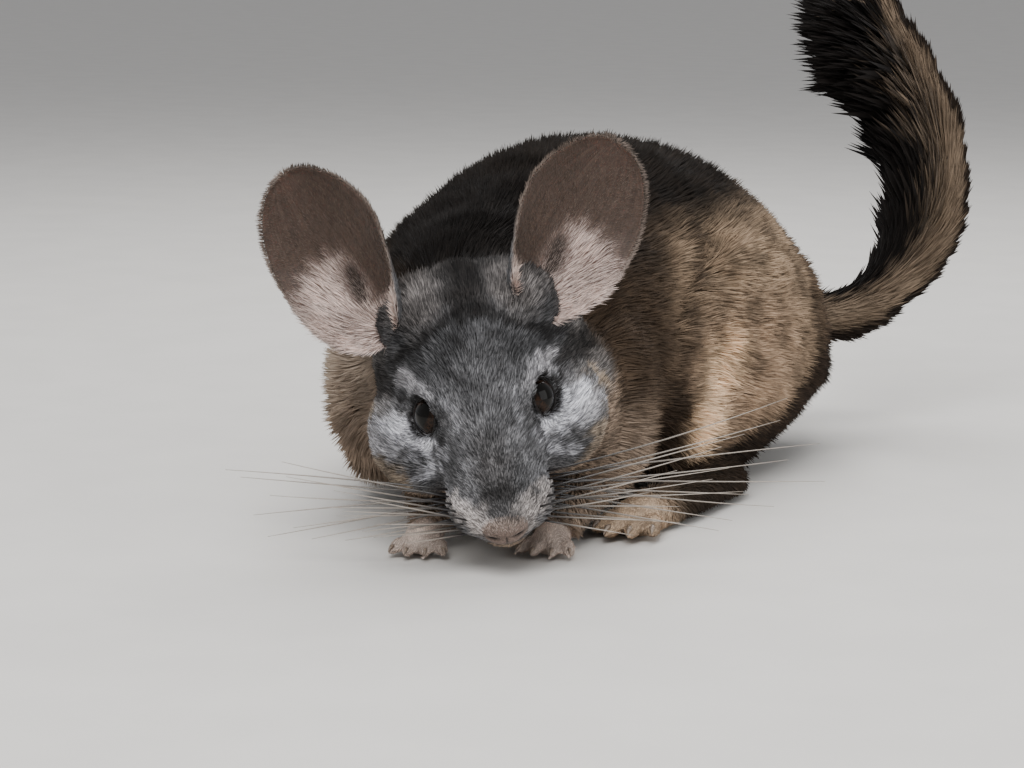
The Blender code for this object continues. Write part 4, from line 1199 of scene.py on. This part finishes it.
class CHINCHILLA_OT_lids(bpy.types.Operator):
    """Rings each eye with its lids, drawn to a corner towards the nose"""
    bl_idname = "chinchilla.lids"
    bl_label = "Lids"
    steps, sides = 56, 10

    def execute(self, context):
        for name, side in SIDES.items():
            turned = eye_frame(side)
            corner = turned.to_3x3().inverted() @ (HEAD.to_3x3() @ Vector((0, -0.75, -0.66)))
            corner_turn = math.atan2(corner.y, corner.x)
            shape = bmesh.new()
            loops = []
            for i in range(self.steps):
                turn = 2 * math.pi * i / self.steps
                off = turn - corner_turn
                reach = LID_INNER * max(0.0, math.cos(off)) ** 8 + LID_OUTER * max(0.0, -math.cos(off)) ** 4
                opening = math.radians(LID_OPENING + reach - LID_FLAT * math.sin(off) ** 2)
                out = Vector((math.cos(turn), math.sin(turn), 0))
                radial = out * math.sin(opening) + Vector((0, 0, math.cos(opening)))
                tangent = out * math.cos(opening) - Vector((0, 0, math.sin(opening)))
                middle = radial * (EYE_RADIUS + LID_HEIGHT)
                loops.append([
                    shape.verts.new(turned @ ((middle + tangent * LID_WIDTH * math.cos(a)
                                               + radial * LID_HEIGHT * math.sin(a)) * MM))
                    for a in (2 * math.pi * k / self.sides for k in range(self.sides))
                ])
            for low, high in zip(loops, loops[1:] + loops[:1]):
                wall(shape, low, high)
            bmesh.ops.recalc_face_normals(shape, faces=shape.faces)
            lids = from_bmesh(f"lids_{name}", shape)
            lids.data.shade_smooth()
            mark_face_piece(lids, 0.20, 1.5, lambda masks: 1100 * ramp(masks.off_gaze, 50.5, 54))
            grow_coat(f"lid_hair_{name}", lids, 0, seed=60)
            dress(lids, [shared_material("lid_skin", rim_material)])
        return {"FINISHED"}


# Nose

def nose_material():
    """Short pinkish-beige velvet round the nostrils, with painted shade, near black, inside them and in the
    cleft.
    """
    material, tree, shader = new_material("nose_skin", 0.6, 0.25, 0.05)
    # hollow marks the nostril slits and the cleft, painted near black as shade.
    hollow_shade = attribute(tree, "hollow").outputs["Fac"]
    grain, shade = grained(tree, 1400, 3.0, 0.7, (0.3, 0.72), (0.62, 1.25))
    bare = scaled(tree, TONES["nose_skin"], shade)
    paint(tree, shader, mixed(tree, hollow_shade, bare, (0.010, 0.006, 0.005, 1)))
    roughen(tree, shader, grain, 0.6, 0.0003)
    return material


def swell(aside, up, place, half_widths):
    """1 at a place of the nose pad, fading to 0 away from it."""
    return math.exp(-((aside - place[0]) / half_widths[0]) ** 2 - ((up - place[1]) / half_widths[1]) ** 2)


class CHINCHILLA_OT_nose(bpy.types.Operator):
    """Models the nose pad with its slit nostrils, the cleft and the upper lips"""
    bl_idname = "chinchilla.nose"
    bl_label = "Nose"

    def execute(self, context):
        shape = bmesh.new()
        bmesh.ops.create_icosphere(shape, subdivisions=6, radius=1)
        hollow = []
        for vert in shape.verts:
            x, y, up = vert.co
            aside = abs(x)
            place = Vector((x * NOSE_RADII[0], y * NOSE_RADII[1], up * NOSE_RADII[2]))
            slit = swell(aside, up + 0.25 * (aside - NOSTRIL_SLIT[0][0]), *NOSTRIL_SLIT)
            cleft = math.exp(-(aside / NOSE_CLEFT[0]) ** 2) * (up < NOSE_CLEFT[1])
            front = max(0.0, -y) ** 0.5
            # The painted shade of the nostril slits and the cleft's lower end, kept as hollow.
            dark = slit + 0.7 * cleft * ramp(-up, -0.22, -0.08)
            dent = 0.6 * slit + 0.3 * cleft
            rise = 0.55 * swell(aside, up, *NOSE_RIDGE) + 0.35 * swell(aside, up, *NOSE_LOBE)
            place += Vector((0, (dent - rise) * front, 0))
            hollow.append(min(1.0, 1.25 * dark * front))
            vert.co = HEAD @ ((place + NOSE_PLACE) * MM)
        nose = from_bmesh("nose", shape)
        nose.data.shade_smooth()
        keep_values(nose.data, "hollow", "FLOAT", hollow)
        shut = 1 - ramp(np.array(hollow), 0.15, 0.4)
        mark_face_piece(nose, 0.17, 0.8, lambda masks: 1500 * shut * ramp(masks.head[:, 2], -9.7, -8.5))
        grow_coat("nose_hair", nose, 0, seed=61)
        dress(nose, [nose_material()])
        return {"FINISHED"}


# Ears

def ear_point(across, along, length):
    """The ear's mid surface in its own frame: X across, Y out of the cup, Z from root to tip."""
    half = EAR_HALF_WIDTH * max(0.0, 1 - abs(2 * along ** EAR_WIDEST - 1) ** EAR_ROUNDNESS) ** 0.5
    root, middle, tip = EAR_CLOSING
    if along < EAR_OPENED:
        closing = root + (middle - root) * along / EAR_OPENED
    else:
        closing = middle + (tip - middle) * (along - EAR_OPENED) / (1 - EAR_OPENED)
    bend = math.radians(closing)
    radius = 2 * half / bend
    turn = across * bend / 2
    lean = EAR_BOW * math.sin(math.pi * along)
    return Vector((radius * math.sin(turn), radius * (1 - math.cos(turn)) - lean, along * length))


def ear_frame(name):
    """The ear's own frame in the head's millimetres."""
    side, facts = SIDES[name], EARS[name]
    lean, turn = math.radians(facts["lean"]), math.radians(EAR_TURN)
    outwards = Vector((side, 0, 0))
    axis = outwards * math.sin(lean) + FACE_UP * math.cos(lean)
    facing = outwards * math.sin(turn) + FACE_FRONT * math.cos(turn)
    facing = (facing - axis * facing.dot(axis)).normalized()
    turned = Matrix((facing.cross(axis), facing, axis)).transposed().to_4x4()
    root = Vector((side * facts["root"][0], facts["root"][1], facts["root"][2]))
    return Matrix.Translation(root) @ turned


def ear_inside_material(colour):
    """Thin bare skin with faint veins and creases, paler and pinker low in the cup, with painted shade,
    near black, in the hollow beside the fan.
    """
    material, tree, shader = new_material("ear_inside", 0.6, 0.2, 0.05)
    parts = add(tree, "ShaderNodeSeparateXYZ", {0: attribute(tree, "spot").outputs["Vector"]})
    low = maths(tree, "MULTIPLY", parts.outputs["Z"], 0.9)
    fan = add(tree, "ShaderNodeCombineXYZ", {0: maths(tree, "MULTIPLY", parts.outputs["X"], 26.0),
                                             1: maths(tree, "MULTIPLY", parts.outputs["Y"], 3.0)})
    veins = noise(tree, fan.outputs[0], 1.0, 4.0, 0.6).outputs["Fac"]
    grain = grained(tree, 700, 4.0, 0.65, (0.3, 0.7), (0.8, 1.22))[1]
    shade = maths(tree, "MULTIPLY", remap(tree, veins, 0.3, 0.72, 0.72, 1.2), grain)
    bare = mixed(tree, low, (*colour, 1), (0.30, 0.21, 0.18, 1))
    # Painted shade, near black, in the ear's hollow.
    bare = mixed(tree, attribute(tree, "hollow").outputs["Fac"], bare, (0.03, 0.02, 0.016, 1))
    paint(tree, shader, scaled(tree, bare, shade))
    roughen(tree, shader, shade, 0.35, 0.0004)
    shader.inputs["Subsurface Weight"].default_value = 0.18
    shader.inputs["Subsurface Radius"].default_value = (0.004, 0.0018, 0.001)
    shader.inputs["Subsurface Scale"].default_value = 1.0
    return material


def ear_outside_material():
    """Dark velvet on the back of the ear."""
    material, tree, shader = new_material("ear_outside", 0.8, 0.12, 0.05)
    grain, shade = grained(tree, 900, 3.0, 0.7, (0.3, 0.7), (0.6, 1.3))
    paint(tree, shader, scaled(tree, TONES["ear_back"], shade))
    roughen(tree, shader, grain, 0.5, 0.0004)
    return material


class CHINCHILLA_OT_ears(bpy.types.Operator):
    """Models the thin cupped ears, and grows their fine hair, fringe and the tufts at the notch"""
    bl_idname = "chinchilla.ears"
    bl_label = "Ears"
    columns, rows = 56, 60

    def execute(self, context):
        colour = context.scene.chinchilla_face.ear_colour
        for name in SIDES:
            ear = self.shell(name)
            materials = [shared_material("ear_inside", lambda: ear_inside_material(colour)),
                         shared_material("ear_outside", ear_outside_material)]
            grow_coat(f"ear_hair_{name}", ear, 0, seed=40)
            dress(ear, materials, [f"ear_{name}"])
        return {"FINISHED"}

    def shell(self, name):
        """Two sheets a wall apart, thinner to the edge and joined round it."""
        length = EARS[name]["length"]
        place = HEAD @ Matrix.Scale(MM, 4) @ ear_frame(name)
        grid = np.array([[
            ear_point(2 * i / self.columns - 1, self.height(j), length) for i in range(self.columns + 1)
        ] for j in range(self.rows + 1)])
        rise = np.gradient(grid, axis=0)
        run = np.gradient(grid, axis=1)
        out = np.cross(rise, run)
        out /= np.maximum(np.linalg.norm(out, axis=2, keepdims=True), 1e-9)
        out *= np.sign(out[..., 1:2].mean())
        shape = bmesh.new()
        sheets, spots, insides, places = [], [], [], []
        for inside in (1, 0):
            rows = []
            for j in range(self.rows + 1):
                row = []
                for i in range(self.columns + 1):
                    across, along = 2 * i / self.columns - 1, self.height(j)
                    edge = min(1 - abs(across), 1 - along, EAR_EDGE) / EAR_EDGE
                    point = grid[j, i] + out[j, i] * toward(*EAR_WALL, edge) * (1 if inside else -1)
                    row.append(shape.verts.new(place @ Vector(point)))
                    spots.append((across, along, inside))
                    insides.append(inside)
                    places.append(point)
                rows.append(row)
            sheets.append(rows)
        front, back = sheets
        faces = []
        for j in range(self.rows):
            for i in range(self.columns):
                for sheet, order in ((front, 1), (back, -1)):
                    quad = (sheet[j][i], sheet[j][i + 1], sheet[j + 1][i + 1], sheet[j + 1][i])
                    faces.append((quad[::order], 0 if order == 1 else 1))
        edge = [(0, i) for i in range(self.columns)] + [(j, self.columns) for j in range(self.rows)]
        edge += [(self.rows, i) for i in range(self.columns, 0, -1)]
        edge += [(j, 0) for j in range(self.rows, 0, -1)]
        for (j, i), (m, k) in zip(edge, edge[1:] + edge[:1]):
            faces.append(((front[m][k], front[j][i], back[j][i], back[m][k]), 0))
        for quad, number in faces:
            shape.faces.new(quad).material_index = number
        bmesh.ops.recalc_face_normals(shape, faces=shape.faces)
        ear = from_bmesh(f"ear_shell_{name}", shape)
        mesh = ear.data
        mesh.shade_smooth()
        self.mark(mesh, np.array(spots), np.array(insides, float), place, np.array(places), -SIDES[name])
        return ear

    def height(self, row):
        """Rows close up towards the root and the tip, as the outline turns."""
        return 0.5 - 0.5 * math.cos(math.pi * (row + 0.4) / (self.rows + 0.8))

    @staticmethod
    def mark(mesh, spots, inside, place, places, outer):
        """How fine hair grows on an ear: short inside, a thin fringe, and a long pale fan at the notch."""
        outward = normals(mesh)
        turned = np.array(place.to_3x3().normalized())
        across, along = spots[:, 0], spots[:, 1]
        edge = np.maximum(ramp(np.abs(across), 0.93, 0.995), ramp(along, 0.97, 0.998))
        mirror = np.array([outer, 1])
        gap = places[:, ::2] - mirror * FAN_CENTRE
        rays = 1 + FAN_WAVE * np.sin(FAN_WAVES * np.arctan2(gap[:, 1], gap[:, 0] * outer)) ** 2
        near = 1 - ramp(np.linalg.norm(gap, axis=1) * rays, *FAN_FADE)
        notch = np.maximum(near * ramp(places[:, 0] * outer, -5, 3), 1 - ramp(along, 0.10, 0.26)) * inside
        # The hollow beside the fan: painted shade on its skin and its hair.
        lower, upper, half_width = EAR_HOLLOW
        hollow = streak(places[:, ::2], mirror * lower, mirror * upper, half_width) * inside
        lie = np.stack([0.6 * across, 0.25 + 0 * across, 1.0 - 0.5 * np.abs(across)], 1)
        lie = blend(lie, unit(places - np.array([outer * 0.5, -1.0, 3.0])), notch)
        lie = unit(lie @ turned.T)
        flat = unit(lie - outward * (lie * outward).sum(1, keepdims=True))
        lift = np.radians(11 + 5 * notch + 6 * edge)[:, None]
        lay = flat * np.cos(lift) + outward * np.sin(lift)
        length, width, dense = (toward(back, front, inside) for back, front in EAR_HAIR)
        length += FAN_HAIR[0] * notch ** 1.3 * (1 - 0.8 * hollow)
        width += FAN_HAIR[1] * notch
        dense += FAN_HAIR[2] * notch + FRINGE_DENSITY * edge
        shade = np.tile(np.array(TONES["ear_back"]), (len(spots), 1))
        low_back = (1 - inside) * ramp(-along, -0.45, -0.15)
        for name, weight in (("ear_down", inside), ("ear_edge", edge * 0.8), ("ear_fan", notch),
                             ("ear_hollow_shade", hollow * 0.8), ("face", low_back)):
            shade = blend(shade, TONES[name], weight)
        spots[:, 2] = notch
        keep_values(mesh, "spot", "FLOAT_VECTOR", spots)
        keep_values(mesh, "hollow", "FLOAT", hollow)
        tone = np.concatenate([shade, np.full((len(shade), 1), 0.15)], 1)
        size = np.stack([width, length * EAR_ARCH, length], 1) * MM
        keep_growth(mesh, tone, lay, size, dense * 1e4, np.full(len(dense), EAR_TICK))
        half = np.stack([0.25 + 0.23 * across + 0.5 * (1 - inside), 0.02 + 0.96 * along], 1)
        corners = np.empty(len(mesh.loops), np.int32)
        mesh.loops.foreach_get("vertex_index", corners)
        layer = mesh.uv_layers.new(name="shape")
        layer.data.foreach_set("uv", half[corners].astype(np.float32).ravel())


# Claws and whiskers

def claw_material(colour):
    """Smooth horn with a faint grain."""
    material, tree, shader = new_material("claw", 0.35, 0.5)
    shade = grained(tree, 1600, 2.0, 0.5, (0.3, 0.7), (0.65, 1.3))[1]
    paint(tree, shader, scaled(tree, tuple(colour), shade))
    return material


class CHINCHILLA_OT_claws(bpy.types.Operator):
    """Sets a small curved claw on each toe"""
    bl_idname = "chinchilla.claws"
    bl_label = "Claws"

    def execute(self, context):
        shape = bmesh.new()
        for name, side in SIDES.items():
            self.row(shape, FOREPAWS[name], FOREPAWS[name]["heading"], FOREPAW_ROW, FOREPAW_TOE, 1)
            self.row(shape, HIND_FEET[name], side * HIND_FEET[name]["heading"], HIND_ROW, HIND_TOE, side)
        bmesh.ops.recalc_face_normals(shape, faces=shape.faces)
        claws = from_bmesh("claws", shape)
        claws.data.shade_smooth()
        colour = context.scene.chinchilla_face.claw_colour
        dress(claws, [claw_material(colour)])
        return {"FINISHED"}

    @staticmethod
    def row(shape, foot, heading, toes, radius, side):
        turn = Matrix.Rotation(math.radians(heading), 3, "Z")
        for shift, fan, length in toes:
            angle = math.radians(heading + side * fan)
            ahead = Vector((math.sin(angle), -math.cos(angle), 0))
            base = Vector(foot["toes"]) + turn @ Vector((side * shift, 0, -0.8))
            tip = base + ahead * (length + 0.35 * radius) + Vector((0, 0, 0.15 * radius))
            centres = [
                tip + ahead * radius * reach + Vector((0, 0, radius * rise))
                for reach, rise in CLAW_CURVE
            ]
            radii = [radius * share * MM for share in CLAW_RADII]
            tube(shape, [BODY @ (centre * MM) for centre in centres], radii, 8)


def whisker_material():
    """Dark near the muzzle and pale and clear farther out."""
    material, tree, shader = new_material("whisker", 0.35, 0.5)
    along = attribute(tree, "along").outputs["Fac"]
    out = remap(tree, along, 0.1, 0.75, 0.0, 1.0)
    colour = mixed(tree, out, (0.012, 0.010, 0.010, 1), (0.30, 0.26, 0.22, 1))
    paint(tree, shader, colour)
    return material


class CHINCHILLA_OT_whiskers(bpy.types.Operator):
    """Sets the long tapered whiskers in rows on each pad"""
    bl_idname = "chinchilla.whiskers"
    bl_label = "Whiskers"
    steps, sides = 9, 5

    def execute(self, context):
        sizes = context.scene.chinchilla_face
        draw = np.random.default_rng(23)
        shape = bmesh.new()
        along = []
        for side in SIDES.values():
            for i in range(sizes.whisker_count):
                row, column = divmod(i, WHISKER_COLUMNS)
                self.whisker(shape, along, side, column, row, sizes, draw)
        whiskers = from_bmesh("whiskers", shape)
        keep_values(whiskers.data, "along", "FLOAT", along)
        whiskers.data.shade_smooth()
        dress(whiskers, [whisker_material()])
        return {"FINISHED"}

    def whisker(self, shape, along, side, column, row, sizes, draw):
        """One whisker: straight at its root, then bowed back and down a little."""
        (x, y, z), (aside, back, down) = WHISKER_ROOT, WHISKER_GAPS
        root = Vector((side * (x + aside * column), y + back * column, z + down * row))
        length = sizes.whisker_length / MM * (0.48 + 0.13 * column - 0.05 * row) * draw.uniform(0.85, 1.05)
        share_of_length, sweeps, rises = WHISKER_FANS[side]
        length *= share_of_length
        sweep = math.radians(toward(*sweeps, column / 4) + draw.uniform(-5, 5))
        rise = math.radians(toward(*rises, (row + draw.uniform(0, 0.9)) / 4))
        out = Vector((side * math.cos(sweep), 0, 0)) - FACE_FRONT * math.sin(sweep)
        out = out * math.cos(rise) + FACE_UP * math.sin(rise)
        bow = Vector((0, draw.uniform(0.02, 0.10), draw.uniform(-0.12, 0.0)))
        centres, radii = [], []
        for k in range(self.steps):
            share = k / (self.steps - 1)
            reach = out * (length * share - 1.5 * (1 - share)) + bow * length * share ** 2
            point = HEAD @ ((root + reach) * MM)
            point.z = max(point.z, 4 * MM)
            centres.append(point)
            radii.append(sizes.whisker_radius * (1 - 0.8 * share ** 1.3))
            along += [share] * self.sides
        tube(shape, centres, radii, self.sides)


# The studio

def floor_material(colour):
    """Plain matt board with the faintest tooth."""
    material, tree, shader = new_material("floor", 0.7, 0.3)
    shade = grained(tree, 30, 3.0, 0.5, (0.3, 0.7), (0.98, 1.02))[1]
    paint(tree, shader, scaled(tree, tuple(colour), shade))
    return material


class CHINCHILLA_OT_stage(bpy.types.Operator):
    """Sets up the plain floor, the soft lights and the photo's camera"""
    bl_idname = "chinchilla.stage"
    bl_label = "Stage"

    def execute(self, context):
        sizes = context.scene.chinchilla_stage
        shape = bmesh.new()
        bmesh.ops.create_circle(shape, cap_ends=True, segments=96, radius=sizes.floor_radius)
        floor = from_bmesh("floor", shape)
        floor.data.transform(Matrix.Translation((0, 0, -FLOOR_DROP)))
        floor.data.materials.append(floor_material(sizes.floor_colour))
        for name, (place, size) in LIGHTS.items():
            self.light(name, place, size, getattr(sizes, f"{name}_power"))
        world = bpy.data.worlds.new("studio")
        world.use_nodes = True
        back = world.node_tree.nodes["Background"]
        back.inputs["Color"].default_value = ROOM_COLOUR
        back.inputs["Strength"].default_value = sizes.sky
        context.scene.world = world
        self.camera(context)
        return {"FINISHED"}

    @staticmethod
    def light(name, place, size, power):
        lamp = bpy.data.lights.new(name, "AREA")
        lamp.size = size
        lamp.energy = power
        made = new_object(name, lamp)
        made.location = place
        made.rotation_euler = (Vector((0, 0, 0.06)) - Vector(place)).to_track_quat("-Z", "Y").to_euler()

    @staticmethod
    def camera(context):
        """Stands where the photo was taken from."""
        turn, rise = math.radians(CAMERA_AZIMUTH), math.radians(CAMERA_ELEVATION)
        back = Vector((math.sin(turn) * math.cos(rise), -math.cos(turn) * math.cos(rise), math.sin(rise)))
        lens = bpy.data.cameras.new("camera")
        lens.lens = CAMERA_LENS
        lens.sensor_width = 36
        made = new_object("camera", lens)
        made.location = BODY @ (CAMERA_PLACE * MM)
        made.rotation_euler = back.to_track_quat("Z", "Y").to_euler()
        context.scene.camera = made


class CHINCHILLA_PT_panel(bpy.types.Panel):
    """Lists the steps that dress the animal, with the sizes that they use"""
    bl_label = "Chinchilla"
    bl_idname = "CHINCHILLA_PT_panel"
    bl_space_type = "VIEW_3D"
    bl_region_type = "UI"
    bl_category = "Chinchilla"

    def draw(self, context):
        for group in ("chinchilla_coat", "chinchilla_face", "chinchilla_stage"):
            sizes = getattr(context.scene, group)
            for key in sizes.__annotations__:
                self.layout.prop(sizes, key)
        for operator in OPERATORS:
            self.layout.operator(operator.bl_idname)


GROUPS = {"chinchilla_coat": CoatSizes, "chinchilla_face": FaceSizes, "chinchilla_stage": StageSizes}
OPERATORS = (
    CHINCHILLA_OT_skin,
    CHINCHILLA_OT_eyes,
    CHINCHILLA_OT_lids,
    CHINCHILLA_OT_nose,
    CHINCHILLA_OT_ears,
    CHINCHILLA_OT_claws,
    CHINCHILLA_OT_whiskers,
    CHINCHILLA_OT_coat,
    CHINCHILLA_OT_stage,
)


def register():
    for made in (*GROUPS.values(), *OPERATORS, CHINCHILLA_PT_panel):
        bpy.utils.register_class(made)
    for name, group in GROUPS.items():
        setattr(bpy.types.Scene, name, PointerProperty(type=group))


def unregister():
    for name in GROUPS:
        delattr(bpy.types.Scene, name)
    for made in reversed((*GROUPS.values(), *OPERATORS, CHINCHILLA_PT_panel)):
        bpy.utils.unregister_class(made)


def main():
    register()
    for step in ("skin", "eyes", "lids", "nose", "ears", "claws", "whiskers", "coat", "stage"):
        getattr(bpy.ops.chinchilla, step)()


if __name__ == "__main__":
    main()
